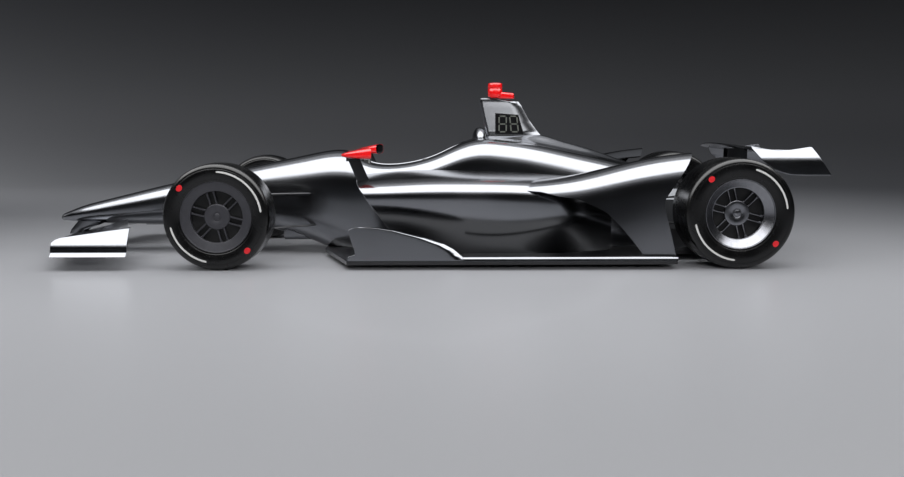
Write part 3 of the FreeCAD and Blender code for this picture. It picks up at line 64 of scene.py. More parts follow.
def add(tree, kind, links=None, **settings):
    """One node with its settings; links gives each input a value or another node's output."""
    made = tree.nodes.new(kind)
    for key, value in settings.items():
        setattr(made, key, value)
    for key, value in (links or {}).items():
        if isinstance(value, bpy.types.NodeSocket):
            tree.links.new(value, made.inputs[key])
        else:
            made.inputs[key].default_value = value
    return made


def material(name, **principled):
    """A material with one Principled shader; also its tree and the output of its Object place."""
    made = bpy.data.materials.new(name)
    made.use_nodes = True
    tree = made.node_tree
    for key, value in principled.items():
        tree.nodes["Principled BSDF"].inputs[key.replace("_", " ")].default_value = value
    return made, tree, add(tree, "ShaderNodeTexCoord").outputs["Object"]


def surface(made, share, dark, light, sheen=None, bump=None):
    """Ties a material's shader to its patterns. A share from 0 to 1 mixes a dark colour with a
    light one. sheen maps a span of that share to a span of roughness, as four numbers, and bump
    is a height from 0 to 1, its strength, and its depth in metres."""
    tree = made.node_tree
    sockets = tree.nodes["Principled BSDF"].inputs
    colours = {0: share, 6: linear(dark), 7: linear(light)}
    tree.links.new(add(tree, "ShaderNodeMix", colours, data_type="RGBA").outputs[2],
                   sockets["Base Color"])
    if sheen:
        gloss = add(tree, "ShaderNodeMapRange", {0: share, **dict(enumerate(sheen, 1))})
        tree.links.new(gloss.outputs[0], sockets["Roughness"])
    if bump:
        relief = add(tree, "ShaderNodeBump", dict(zip(("Height", "Strength", "Distance"), bump)))
        tree.links.new(relief.outputs[0], sockets["Normal"])


def soft_box(name, place, size, power, aim, shown=True, lights=True, spread=math.pi):
    """A rectangular area lamp that faces its aim. Gloss mirrors it where it is shown, it falls on
    matt surfaces where it lights them, and spread is the angle of its beam."""
    data = bpy.data.lights.new(name, "AREA")
    data.shape = "RECTANGLE"
    data.size, data.size_y = size
    data.energy = power
    data.spread = spread
    lamp = bpy.data.objects.new(name, data)
    lamp.location = place
    lamp.visible_camera = False
    lamp.visible_glossy = shown
    lamp.visible_diffuse = lights
    lamp.rotation_euler = (Vector(aim) - Vector(place)).to_track_quat("-Z", "Y").to_euler()
    bpy.context.scene.collection.objects.link(lamp)
    return lamp


def grid_faces(rows, columns, closed=False):
    """Quads of a grid of rows by columns of points; closed joins the last column to the first."""
    steps = columns if closed else columns - 1
    i, j = np.meshgrid(np.arange(rows - 1), np.arange(steps), indexing="ij")
    here, beside = i * columns + j, i * columns + (j + 1) % columns
    return np.stack([here, here + columns, beside + columns, beside], axis=-1).reshape(-1, 4)


def spun(profile, count, whole):
    """A profile of (radius, height) points turned round the Z axis, from 0 to a whole angle."""
    turn = np.linspace(0, whole, count)
    radius, height = np.asarray(profile, float).T
    return np.stack([np.outer(np.cos(turn), radius), np.outer(np.sin(turn), radius),
                     np.broadcast_to(height, (count, len(height)))], axis=-1)


# Lens, place, pan and tilt were fitted to the tyres, the rims, the floor and the wings
camera_data = bpy.data.cameras.new("camera")
camera_data.sensor_width = 36.0
camera_data.lens = 38.38
camera = bpy.data.objects.new("camera", camera_data)
camera_pan, camera_tilt = -0.0191, 0.1146
camera.location = (front_axle - 1.2589, 6.5233, 0.8272)
gaze = Vector((math.sin(camera_pan) * math.cos(camera_tilt),
               -math.cos(camera_pan) * math.cos(camera_tilt), -math.sin(camera_tilt)))
camera.rotation_euler = gaze.to_track_quat("-Z", "Y").to_euler()
bpy.context.scene.collection.objects.link(camera)
bpy.context.scene.camera = camera
bpy.context.scene.view_settings.view_transform = "Standard"

cove_pale, cove_flat, cove_turn, cove_top = 4.0, 9.0, 5.0, 7.0
cove_count, cove_weld = 97, 0.0001
bend = np.linspace(0.0, math.pi / 2, 24)
cove_bend = np.stack([cove_flat + cove_turn * np.sin(bend), cove_turn * (1 - np.cos(bend))],
                     axis=1)
cove_profile = [(0.0, 0.0), (cove_pale, 0.0), *cove_bend, (cove_flat + cove_turn, cove_top)]
cove_points = spun(cove_profile, cove_count, 2 * math.pi)
cove_faces = grid_faces(cove_count, len(cove_profile))[:, ::-1]
cove_mesh = bpy.data.meshes.new("studio_floor")
cove_mesh.from_pydata(cove_points.reshape(-1, 3).tolist(), [], cove_faces.tolist())
work = bmesh.new()
work.from_mesh(cove_mesh)
bmesh.ops.remove_doubles(work, verts=work.verts, dist=cove_weld)
work.to_mesh(cove_mesh)
work.free()
cove_mesh.polygons.foreach_set("use_smooth", [True] * len(cove_mesh.polygons))
studio_floor = bpy.data.objects.new("studio_floor", cove_mesh)
bpy.context.scene.collection.objects.link(studio_floor)

# Satin paint, rolled on board: pale round the car, and dark grey where it nears the wall, so that
# the backdrop fades with no line where it meets the floor
board, tree, place = material("painted_board", Roughness=0.33)
away = add(tree, "ShaderNodeVectorMath", {0: place}, operation="LENGTH")
climb = add(tree, "ShaderNodeMapRange", {0: away.outputs["Value"], 1: cove_pale, 2: 15.0},
            interpolation_type="SMOOTHSTEP")
surface(board, climb.outputs[0], "a8a9ad", "222326")
cove_mesh.materials.append(board)

# The room is dark at the sides and brightens smoothly overhead
world = bpy.data.worlds.new("studio_room")
bpy.context.scene.world = world
world.use_nodes = True
sky = world.node_tree
direction = add(sky, "ShaderNodeTexCoord")
split = add(sky, "ShaderNodeSeparateXYZ", {0: direction.outputs["Generated"]})
ramp = add(sky, "ShaderNodeValToRGB", {0: split.outputs["Z"]})
stops = ramp.color_ramp.elements
stops[0].position, stops[0].color = 0.30, linear("1c1d1f")
stops[1].position, stops[1].color = 0.95, linear("9a9ca0")
room = sky.nodes["Background"]
sky.links.new(ramp.outputs["Color"], room.inputs["Color"])
room.inputs["Strength"].default_value = 1.0

# The broad box is three lamps: the first lights the car and isn't mirrored, the second is the
# white band that the lacquer mirrors, and the wide dim third softens the edge of that band
below, sill = (0.0, 1.45, 0.0), (0.0, 0.0, 0.5)
soft_box("top_box", (0.0, 1.45, 3.0), (9.6, 3.7), 210.0, below, shown=False)
soft_box("top_box_face", (0.0, 1.45, 2.95), (9.6, 3.7), 430.0, below, lights=False)
soft_box("top_glow", (0.0, 1.45, 3.1), (12.0, 6.6), 125.0, below, lights=False)
soft_box("left_fill", (0.0, 11.0, 3.2), (10.0, 1.5), 75.0, sill, shown=False, spread=0.7)
soft_box("right_fill", (0.0, -11.0, 3.2), (10.0, 1.5), 40.0, sill, shown=False, spread=0.7)
soft_box("nose_glow", (10.5, -3.0, 2.8), (3.0, 3.0), 900.0, (10.0, -12.0, 3.0), shown=False)
fin_box = soft_box("fin_box", (-3.6, 9.0, 1.75), (7.6, 1.3), 85.0, (-0.6, 0.0, 0.9))

# Bodywork
# Nose, tub and engine cover are carbon mouldings in three panels, sprayed and buffed to a dark
# mirror. One smooth surface runs through them, and the tub's is open over the cockpit.

# Metallic lacquer, sprayed and buffed: a dark mirror with clear bands of light. Buffing leaves
# broad soft patches, a little duller than the rest, and the spray a faint orange peel of 3 mm
mirror_coat, tree, place = material("mirror_lacquer", Metallic=1.0, Roughness=0.1)
patches = add(tree, "ShaderNodeTexNoise", {"Vector": place, "Scale": 2.2, "Detail": 2.0})
peel = add(tree, "ShaderNodeTexNoise", {"Vector": place, "Scale": 330.0, "Detail": 1.0})
surface(mirror_coat, patches.outputs[0], "808286", "88898d", sheen=(0.35, 0.7, 0.15, 0.22),
        bump=(peel.outputs[0], 0.012, 0.001))


def spline(knots, values, places):
    """Natural cubic spline: through each row of values at its knot, read at all the places. Its
    second slopes solve one equation for each inner knot, and between two knots it is their
    straight line plus a cubic of those slopes."""
    knots = np.asarray(knots, float)
    values = np.asarray(values, float)
    shape = values.shape[1:]
    values = values.reshape(len(knots), -1)
    places = np.clip(np.asarray(places, float), knots[0], knots[-1])
    step = np.diff(knots)
    system = np.eye(len(knots))
    right = np.zeros(values.shape)
    slope = np.diff(values, axis=0) / step[:, None]
    for i in range(1, len(knots) - 1):
        system[i, i - 1:i + 2] = step[i - 1], 2 * (step[i - 1] + step[i]), step[i]
        right[i] = 6 * (slope[i] - slope[i - 1])
    curve = np.linalg.solve(system, right)
    cell = np.clip(np.searchsorted(knots, places, side="right") - 1, 0, len(knots) - 2)
    width = step[cell][:, None]
    a = (knots[cell + 1] - places)[:, None] / width
    b = 1 - a
    read = (a * values[cell] + b * values[cell + 1]
            + ((a ** 3 - a) * curve[cell] + (b ** 3 - b) * curve[cell + 1]) * width ** 2 / 6)
    return read.reshape((len(places),) + shape)


def shell(points, closed=False):
    """Points and faces of a grid; closed joins the last column to the first."""
    return points.reshape(-1, 3), grid_faces(len(points), points.shape[1], closed)


def tube(rings):
    """A skin over rings of points, one to a row, with both its ends closed to their middle."""
    first, last = (np.broadcast_to(ring.mean(axis=1, keepdims=True), ring.shape)
                   for ring in (rings[:1], rings[-1:]))
    return shell(np.concatenate([first, rings, last]), closed=True)


def on_side(shells, side):
    """The shells on the car's left, which is side 1, or their images on its right, side -1."""
    return [(points * (1, side, 1), faces) for points, faces in shells]


def mirrored(shells):
    """The shells and their images across the car's middle plane."""
    return on_side(shells, 1) + on_side(shells, -1)


def new_piece(name, shells, finish, body, replaced=(), smooth=True):
    """A mesh of one or more closed shells, with its finish, the body that it rides on and the nodes
    that it stands for. Points within a fiftieth of a millimetre are welded, faces turn outwards,
    and edges of over 50 degrees stay sharp."""
    weld, sharp = 0.00002, math.radians(50)
    start, points, faces = 0, [], []
    for shell_points, shell_faces in shells:
        points.append(shell_points)
        faces += (np.asarray(shell_faces) + start).tolist()
        start += len(shell_points)
    mesh = bpy.data.meshes.new(name)
    mesh.from_pydata(np.concatenate(points).tolist(), [], faces)
    work = bmesh.new()
    work.from_mesh(mesh)
    bmesh.ops.remove_doubles(work, verts=work.verts, dist=weld)
    bmesh.ops.dissolve_degenerate(work, edges=work.edges, dist=weld / 2)
    bmesh.ops.recalc_face_normals(work, faces=work.faces)
    work.to_mesh(mesh)
    work.free()
    mesh.polygons.foreach_set("use_smooth", [smooth] * len(mesh.polygons))
    mesh.set_sharp_from_angle(angle=sharp)
    mesh.materials.append(finish)
    made = bpy.data.objects.new(name, mesh)
    bpy.context.scene.collection.objects.link(made)
    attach(made, body)
    if replaced:
        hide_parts(*replaced)
    return made


def lacquered(name, shells, *replaced):
    """A fixed piece of the body in its mirror lacquer, and the nodes that it stands for."""
    return new_piece(name, shells, mirror_coat, "chassis", replaced)


# rows: metres behind the front axle, top, bottom, half width, upper power, lower power, ridge
body_rows = np.array((
    (-1.240, 0.2330, 0.2180, 0.022, 2.0, 2.0, 0.0),
    (-1.232, 0.2450, 0.2110, 0.045, 2.0, 2.0, 0.0),
    (-1.210, 0.2600, 0.2050, 0.064, 2.1, 2.1, 0.0),
    (-1.142, 0.2880, 0.1990, 0.084, 2.2, 2.2, 0.0),
    (-0.955, 0.3430, 0.1910, 0.112, 2.4, 2.4, 0.0),
    (-0.711, 0.4030, 0.1850, 0.138, 2.6, 2.7, 0.0),
    (-0.516, 0.4500, 0.1830, 0.158, 2.7, 2.9, 0.0),
    (-0.250, 0.5060, 0.1800, 0.180, 2.8, 3.1, 0.0),
    (0.000, 0.5600, 0.1720, 0.202, 2.8, 3.2, 0.0),
    (0.228, 0.6080, 0.1450, 0.228, 2.8, 3.3, 0.0),
    (0.420, 0.6480, 0.0885, 0.254, 2.8, 3.4, 0.0),
    (0.600, 0.6790, 0.0052, 0.276, 2.9, 3.8, 0.0),
    (0.700, 0.6700, -0.0563, 0.290, 3.2, 3.8, 0.0),
    (0.814, 0.6150, -0.0563, 0.302, 4.2, 4.0, 0.0),
    (0.944, 0.5900, -0.0563, 0.310, 5.0, 4.0, 0.0),
    (1.171, 0.6200, -0.0563, 0.318, 5.0, 4.0, 0.0),
    (1.281, 0.6560, -0.0563, 0.322, 5.0, 4.0, 0.0),
    (1.398, 0.7080, -0.0563, 0.328, 4.9, 4.0, 0.0),
    (1.495, 0.7420, -0.0563, 0.336, 4.8, 4.0, 0.004),
    (1.560, 0.7540, -0.0563, 0.342, 4.7, 4.0, 0.010),
    (1.700, 0.7500, -0.0563, 0.354, 4.6, 4.0, 0.020),
    (1.816, 0.7380, -0.0563, 0.362, 4.5, 4.0, 0.038),
    (1.984, 0.7100, -0.0563, 0.362, 4.3, 4.0, 0.067),
    (2.113, 0.6820, -0.0563, 0.354, 4.2, 4.0, 0.058),
    (2.249, 0.6530, -0.0563, 0.338, 4.0, 4.0, 0.050),
    (2.385, 0.6240, -0.0563, 0.312, 3.8, 4.0, 0.036),
    (2.522, 0.5900, -0.0563, 0.278, 3.6, 4.0, 0.022),
    (2.617, 0.5690, -0.0563, 0.250, 3.5, 4.0, 0.016),
))
ridge_half = 0.070
floor_top = 0.0523


def body_section(stations, shares, edge=None, inset=0.0):
    """Half of the body from its keel up to its top edge. Each section is a superellipse in polar
    form, whose power differs over and under its middle, plus a ridge on the spine that fades as a
    bell curve. Where edge is given, the section stops at that distance from the middle plane."""
    row = spline(body_rows[:, 0], body_rows[:, 1:], stations)
    top, low, half, top_power, low_power, ridge = (row[:, i, None] for i in range(6))
    top, half, low = top - inset, half - inset, low + inset
    reach_in = np.zeros_like(half) if edge is None else edge[:, None] / half
    last = np.arctan2((1 - reach_in ** top_power) ** (1 / top_power), reach_in)
    angles = -math.pi / 2 + shares * (last + math.pi / 2)
    c, s = np.cos(angles), np.sin(angles)
    power = np.where(s > 0, top_power, low_power)
    reach = (np.abs(c) ** power + np.abs(s) ** power) ** (-1 / power)
    y = half * c * reach
    z = (top + low) / 2 + (top - low) / 2 * s * reach
    z = z + ridge * np.exp(-(y / ridge_half) ** 2) * np.clip(s, 0, 1) ** 2
    x = np.broadcast_to(front_axle - stations[:, None], y.shape)
    return np.stack([x, np.where(np.abs(y) < 1e-9, 0.0, y), np.maximum(z, floor_top)], axis=-1)


nose_tip, nose_split, bulkhead, tail = -1.240, -0.300, 1.553, 2.617
half_gap, tip_length = 0.0003, 0.10
round_shares = np.linspace(0, 1, 80)
tip_stations = nose_tip + tip_length * np.linspace(0, 1, 30) ** 2
nose_stations = np.concatenate([
    tip_stations, np.linspace(nose_tip + tip_length + 0.005, nose_split - half_gap, 90)])
nose_skin = body_section(nose_stations, round_shares)
nose_caps = [shell(np.concatenate([row, row * (1, -1, 1)]))
             for row in (nose_skin[:1], nose_skin[-1:])]
lacquered("nose_shell", mirrored([shell(nose_skin)]) + nose_caps, "nose_cone")

# The cockpit opening is a long oval with blunt ends; its rim rolls over into the well's lining
cockpit_front, cockpit_rear, cockpit_half = 0.690, 1.480, 0.215
well_half, well_floor, well_corner = 0.225, 0.090, 0.03
tunnel_front, tunnel_half, tunnel_top = 0.270, 0.170, 0.500
rim_round, rim_fade, rim_drop = 0.011, 0.06, 0.030
oval_power, well_power = 3.0, 9
swing = -np.cos(np.linspace(0, math.pi, 130))
opening = (cockpit_front + cockpit_rear) / 2 + swing * (cockpit_rear - cockpit_front) / 2
opening_half = cockpit_half * np.clip(1 - np.abs(swing) ** oval_power, 0, 1) ** (1 / oval_power)
ahead = np.linspace(nose_split + half_gap, cockpit_front, 130)[:-1]
behind = np.linspace(cockpit_rear, bulkhead - half_gap, 14)[1:]
tub_edge = np.concatenate([np.zeros_like(ahead), opening_half, np.zeros_like(behind)])
tub_skin = body_section(np.concatenate([ahead, opening, behind]), round_shares, tub_edge)
rim_y, rim_z = tub_skin[len(ahead):len(ahead) + len(opening), -1, 1:].T


def well_path(x, corners):
    """Rows of a lining, one at each x: straight runs between corners, each a pair of y and z, and
    every run cut in as many steps as well_counts gives it."""
    points = [np.stack(np.broadcast_arrays(y, z, x)[:2], axis=-1)[:, None] for y, z in corners]
    runs = [start + (end - start) * np.linspace(0, 1, count, endpoint=False)[None, :, None]
            for start, end, count in zip(points[:-1], points[1:], well_counts)]
    runs = np.concatenate(runs + [points[-1]], axis=1)
    return np.concatenate([np.broadcast_to(x[:, None, None], runs.shape[:2] + (1,)), runs], axis=-1)


def closed_flat(rows):
    """The rows, with the first and the last closed to the car's middle plane."""
    return np.concatenate([rows[:1] * (1, 0, 1), rows, rows[-1:] * (1, 0, 1)])


well_counts = [1] * 6 + [3, 6, 10, 2, 6]
lip = rim_round * np.clip(rim_y / rim_fade, 0, 1)
lip_turn = [(rim_y - lip * math.sin(a), rim_z - lip * (1 - math.cos(a)))
            for a in np.linspace(0, math.pi / 2, 7)]
blunt = np.clip(1 - np.clip(swing, 0, 1) ** well_power, 0, 1) ** (1 / well_power)
well_wall = well_half * np.where(swing > 0, blunt, 1.0)
well_rows = well_path(front_axle - opening, lip_turn + [
    (rim_y - lip, rim_z - rim_drop), (np.maximum(well_wall, rim_y - lip), rim_z - rim_drop - 0.004),
    (well_wall, well_floor + well_corner), (np.maximum(well_wall - well_corner, 0), well_floor),
    (0.0, well_floor)])
tunnel_rows = well_path(front_axle - np.linspace(tunnel_front, cockpit_front, 30), [
    *[(0.0, tunnel_top)] * 8, (tunnel_half, tunnel_top), (tunnel_half, well_floor + well_corner),
    (tunnel_half - well_corner, well_floor), (0.0, well_floor)])
lining = np.concatenate([tunnel_rows, well_rows])
lacquered("tub_shell", mirrored([shell(closed_flat(tub_skin)), shell(closed_flat(lining))]), "tub")

cover_wall = 0.012
cover_stations = np.linspace(bulkhead + half_gap, tail, 130)
outside = body_section(cover_stations, round_shares)
inside = body_section(cover_stations, round_shares, inset=cover_wall)
cover = np.concatenate([outside, inside[::-1], outside[:1]])
lacquered("cover_shell", mirrored([shell(cover)]), "engine_cover")

# Sidepods
# Each is one carbon moulding in the same lacquer. Its top rolls over a crest into a bulged flank
# that is tucked in above the floor, and a slanted mouth holds the radiator's intake.
pod_rows = {
    # metres behind the front axle: control points from the tub's side outwards and down, as (y, z)
    0.740: ((0.20, 0.520), (0.30, 0.518), (0.48, 0.512), (0.66, 0.500), (0.765, 0.470),
            (0.795, 0.415), (0.775, 0.330), (0.70, 0.235), (0.60, 0.150), (0.54, 0.0523)),
    0.950: ((0.20, 0.545), (0.32, 0.540), (0.49, 0.528), (0.67, 0.510), (0.780, 0.475),
            (0.810, 0.415), (0.785, 0.325), (0.70, 0.225), (0.60, 0.140), (0.55, 0.0523)),
    1.200: ((0.20, 0.560), (0.33, 0.553), (0.50, 0.540), (0.68, 0.522), (0.790, 0.485),
            (0.822, 0.420), (0.800, 0.325), (0.73, 0.225), (0.65, 0.135), (0.60, 0.0523)),
    1.500: ((0.20, 0.560), (0.35, 0.553), (0.52, 0.540), (0.69, 0.522), (0.795, 0.485),
            (0.826, 0.420), (0.808, 0.325), (0.76, 0.225), (0.70, 0.135), (0.65, 0.0523)),
    1.800: ((0.20, 0.550), (0.35, 0.543), (0.51, 0.530), (0.67, 0.512), (0.765, 0.475),
            (0.790, 0.410), (0.780, 0.315), (0.745, 0.220), (0.69, 0.135), (0.64, 0.0523)),
    2.100: ((0.20, 0.530), (0.33, 0.523), (0.46, 0.508), (0.57, 0.488), (0.650, 0.450),
            (0.672, 0.390), (0.668, 0.300), (0.640, 0.210), (0.60, 0.130), (0.56, 0.0523)),
    2.380: ((0.20, 0.500), (0.29, 0.492), (0.37, 0.478), (0.44, 0.455), (0.495, 0.420),
            (0.512, 0.365), (0.510, 0.285), (0.495, 0.205), (0.47, 0.130), (0.44, 0.0523)),
}


def basis(count, places):
    """Clamped uniform cubic B-spline weights of count control points at places from 0 to 1. Each
    degree blends two neighbouring weights of the one below, by how far the place lies in each."""
    knots = np.concatenate([np.zeros(3), np.linspace(0, 1, count - 2), np.ones(3)])
    t = np.clip(np.asarray(places, float), 0, 1 - 1e-12)[:, None]
    weight = ((t >= knots[None, :-1]) & (t < knots[None, 1:])).astype(float)
    for degree in (1, 2, 3):
        columns = weight.shape[1] - 1
        start, end = knots[:columns], knots[degree + 1:degree + 1 + columns]
        rise, fall = knots[degree:degree + columns] - start, end - knots[1:1 + columns]
        weight = ((t - start) / np.where(rise > 0, rise, np.inf) * weight[:, :-1]
                  + (end - t) / np.where(fall > 0, fall, np.inf) * weight[:, 1:])
    return weight


def skin_at(rows, stations, shares):
    """A skin at one station for each point of a grid: control points that follow a natural spline
    along the car, and a B-spline over them across it. Stations are a grid of any rows by shares."""
    table = np.array([rows[k] for k in sorted(rows)])
    control = spline(sorted(rows), table, stations.ravel())
    control = control.reshape(stations.shape + table.shape[1:])
    across = np.einsum("tk,xtkc->xtc", basis(table.shape[1], shares), control)
    return np.concatenate([front_axle - stations[:, :, None], across], axis=-1)


def meeting(surface_at, line, low, high, columns):
    """The station where each column of a surface meets a line that gives a station for a height,
    found by halving the span between two stations."""
    halvings = 30
    low, high = np.full((1, columns), low), np.full((1, columns), high)
    for _ in range(halvings):
        middle = (low + high) / 2
        ahead = middle < line(surface_at(middle)[:, :, 2])
        low, high = np.where(ahead, middle, low), np.where(ahead, high, middle)
    return low


pod_front, pod_rear = 0.740, 2.380
mouth_top, mouth_low = (0.796, 0.485), (0.985, 0.210)
mouth_round = 0.010
mouth_slope = (mouth_low[0] - mouth_top[0]) / (mouth_top[1] - mouth_low[1])
pod_shares = np.linspace(0, 1, 84)
side_steps = 8


def mouth_line(z):
    """Station of the mouth's slanted plane at a height."""
    return mouth_top[0] + (mouth_top[1] - z) * mouth_slope


def pod_ring(stations):
    """The pod's whole outline: its skin, then its flat base and its inner side, column by column.
    The base runs in from the skin's foot to the inner side, and that climbs to the crest."""
    skin_columns = len(pod_shares)
    skin = skin_at(pod_rows, stations[:, :skin_columns], pod_shares)
    base_at, side_at = np.split(stations[:, skin_columns:], 2, axis=1)
    foot = skin_at(pod_rows, base_at, np.ones(side_steps))
    crest = skin_at(pod_rows, side_at, np.zeros(side_steps))
    steps = np.arange(side_steps)
    inner = pod_rows[pod_front][0][0]
    base_y = foot[:, :, 1] + (inner - foot[:, :, 1]) * (steps + 1) / side_steps
    side_z = floor_top + (crest[:, :, 2] - floor_top) * steps / side_steps
    base = np.stack([foot[:, :, 0], base_y, np.full(base_at.shape, floor_top)], axis=-1)
    side = np.stack([crest[:, :, 0], np.full(side_at.shape, inner), side_z], axis=-1)
    return np.concatenate([skin, base, side], axis=1)


pod_columns = len(pod_shares) + 2 * side_steps
pod_start = meeting(pod_ring, lambda z: mouth_line(z) + mouth_round, pod_front, pod_rear,
                    pod_columns)
pod_skin = pod_ring(pod_start + np.linspace(0, 1, 190)[:, None] * (pod_rear - pod_start))

# The mouth's plane runs from the pod's brink to the inlet, and both its edges are rolled
inlet_middle, inlet_half = np.array((0.550, 0.3625)), np.array((0.150, 0.0875))
inlet_depth, inlet_power, inlet_round = 0.200, 5, 0.012
brink = pod_skin[:1, :, 1:]
inward = inlet_middle - brink
inward = inward / np.linalg.norm(inward, axis=-1, keepdims=True)
reach = (np.abs(inward / inlet_half) ** inlet_power).sum(axis=-1, keepdims=True)
inlet_edge = inlet_middle - inward * reach ** (-1 / inlet_power)


def on_mouth(flat, back):
    """Points (y, z) set on the mouth's plane, moved back by a distance."""
    return np.concatenate([front_axle - (mouth_line(flat[:, :, 1:]) + back), flat], axis=-1)


face_start, face_end = brink + inward * mouth_round, inlet_edge - inward * inlet_round
mouth_rings = [on_mouth(brink + inward * mouth_round * (1 - math.cos(a)),
                        mouth_round * (1 - math.sin(a))) for a in np.linspace(0.2, math.pi / 2, 5)]
mouth_rings += [on_mouth(face_start + (face_end - face_start) * k, 0.0)
                for k in (0.25, 0.5, 0.75, 1.0)]
mouth_rings += [on_mouth(inlet_edge - inward * inlet_round * (1 - math.sin(a)),
                         inlet_round * (1 - math.cos(a))) for a in np.linspace(0.4, math.pi / 2, 4)]
duct_x = front_axle - mouth_line(inlet_middle[1]) - inlet_depth
duct_end = np.concatenate([np.full(inlet_edge.shape[:2] + (1,), duct_x), inlet_edge], axis=-1)
pod_points = np.concatenate([duct_end] + mouth_rings[::-1] + [pod_skin])

# The radiator's core closes the duct: a plate of waves 15 mm apart, which fade at top and bottom
core_x, core_half = duct_x + 0.008, inlet_half - 0.004
core_wave, core_waves, core_thick = 0.004, 20, 0.006
y, z = np.meshgrid(np.linspace(-1, 1, 41), np.linspace(-1, 1, 21), indexing="ij")
core_face = np.stack([core_x + core_wave * np.cos(y * core_waves * math.pi) * (1 - z ** 8),
                      inlet_middle[0] + core_half[0] * y,
                      inlet_middle[1] + core_half[1] * z], axis=-1)
core_back = core_face * (0, 1, 1) + (core_x - core_thick, 0, 0)
core = [shell(np.concatenate([core_face, core_back[::-1], core_face[:1]]))]
core += [shell(np.stack([core_face[:, j], core_back[:, j]], axis=1)) for j in (0, -1)]

# Matt black heat paint, brushed on: near black, with fine grey fin edges across the radiator
black_paint, tree, place = material("matt_black_paint", Roughness=0.5)
fins = add(tree, "ShaderNodeTexWave", {"Vector": place, "Scale": 26.0, "Distortion": 0.4},
           bands_direction="Y").outputs[0]
surface(black_paint, fins, "08080a", "2c2d30", bump=(fins, 0.5, 0.002))
sides = (("left", 1), ("right", -1))
for name, side in sides:
    lacquered(f"pod_shell_{name}", on_side([tube(pod_points)], side), f"sidepod_{name}")
    new_piece(f"radiator_core_{name}", on_side(core, side), black_paint, "chassis",
              smooth=False)

# Wheel ramps
# Ahead of each rear wheel the deck climbs out of the sidepod, and its outer wall comes down to the
# floor's lip. It is the same lacquered carbon, one skin 16 mm thick that is hollow inside.
ramp_rows = {
    # metres behind the front axle: control points from the deck's inner edge out and down, (y, z)
    1.70: ((0.50, 0.505), (0.54, 0.503), (0.60, 0.497), (0.67, 0.487), (0.745, 0.452),
           (0.775, 0.40), (0.775, 0.25), (0.770, 0.0763)),
    1.90: ((0.50, 0.512), (0.54, 0.513), (0.60, 0.512), (0.69, 0.503), (0.775, 0.474),
           (0.812, 0.41), (0.825, 0.25), (0.830, 0.0763)),
    2.10: ((0.50, 0.525), (0.54, 0.532), (0.60, 0.537), (0.70, 0.532), (0.800, 0.502),
           (0.846, 0.425), (0.860, 0.25), (0.865, 0.0763)),
    2.35: ((0.50, 0.568), (0.55, 0.583), (0.64, 0.596), (0.73, 0.592), (0.832, 0.552),
           (0.876, 0.46), (0.885, 0.26), (0.890, 0.0763)),
    2.60: ((0.50, 0.605), (0.58, 0.635), (0.66, 0.653), (0.75, 0.645), (0.850, 0.602),
           (0.896, 0.50), (0.900, 0.28), (0.900, 0.0763)),
    2.83: ((0.50, 0.625), (0.59, 0.665), (0.67, 0.683), (0.76, 0.672), (0.858, 0.632),
           (0.902, 0.53), (0.905, 0.30), (0.905, 0.0763)),
}
ramp_wall, ramp_round = 0.016, 0.012
ramp_front, ramp_rear = 1.70, 2.83
# station and height along the wall's lower front edge and its rear edge, from the floor's lip up
ramp_front_edge = ((2.500, 0.0763), (2.432, 0.166), (2.352, 0.259), (2.275, 0.333), (2.215, 0.363),
                   (2.120, 0.404), (2.002, 0.422), (1.903, 0.446), (1.700, 0.460))
ramp_rear_edge = ((2.690, 0.0763), (2.663, 0.190), (2.620, 0.356), (2.619, 0.403), (2.685, 0.500),
                  (2.784, 0.641), (2.828, 0.690))
ramp_shares = np.linspace(0, 1, 90)


def ramp_skin(stations):
    """The ramp's outer skin at a grid of stations."""
    return skin_at(ramp_rows, stations, ramp_shares)


def ramp_edge(edge):
    """The station where each column of the ramp's skin meets an edge of stations and heights."""
    edge_at, edge_z = np.transpose(edge)
    return meeting(ramp_skin, lambda z: np.interp(z, edge_z, edge_at), ramp_front, ramp_rear,
                   len(ramp_shares))


def edge_spaced(count, near):
    """Places from 0 to 1, with four more close to each end, within a share of the whole."""
    close = near * (1 - np.cos(np.linspace(0, math.pi / 2, 5)))[:-1]
    return np.concatenate([close, np.linspace(near, 1 - near, count), 1 - close[::-1]])


def rounding(places, near):
    """How thick a skin is at each place: none at its ends, all of it beyond a quarter circle."""
    off = 1 - np.clip(np.minimum(places, 1 - places) / near, 0, 1)
    return np.sqrt(np.clip(1 - off ** 2, 0, 1))


ramp_from, ramp_to = ramp_edge(ramp_front_edge), ramp_edge(ramp_rear_edge)
ramp_along = edge_spaced(110, ramp_round)
ramp_outside = ramp_skin(ramp_from + ramp_along[:, None] * (ramp_to - ramp_from))
outward = np.cross(np.gradient(ramp_outside, axis=1), np.gradient(ramp_outside, axis=0))
outward /= np.maximum(np.linalg.norm(outward, axis=-1, keepdims=True), 1e-9)
deck_point = outward[60, 30]
outward *= np.sign(deck_point[2])  # on the deck, outwards is up
ramp_thin = rounding(ramp_along, ramp_round)[:, None] * rounding(ramp_shares, ramp_round)[None, :]
ramp_inside = ramp_outside - outward * (ramp_wall * ramp_thin)[:, :, None]
for name, side in sides:
    lacquered(f"ramp_shell_{name}", on_side([shell(ramp_outside), shell(ramp_inside)], side),
              f"wheel_ramp_{name}")

# Fin
# A tall blade on the engine cover behind the cockpit, a hollow carbon moulding whose foot flares
# into the cover. The rounded crown of the roll hoop stands at its foot.

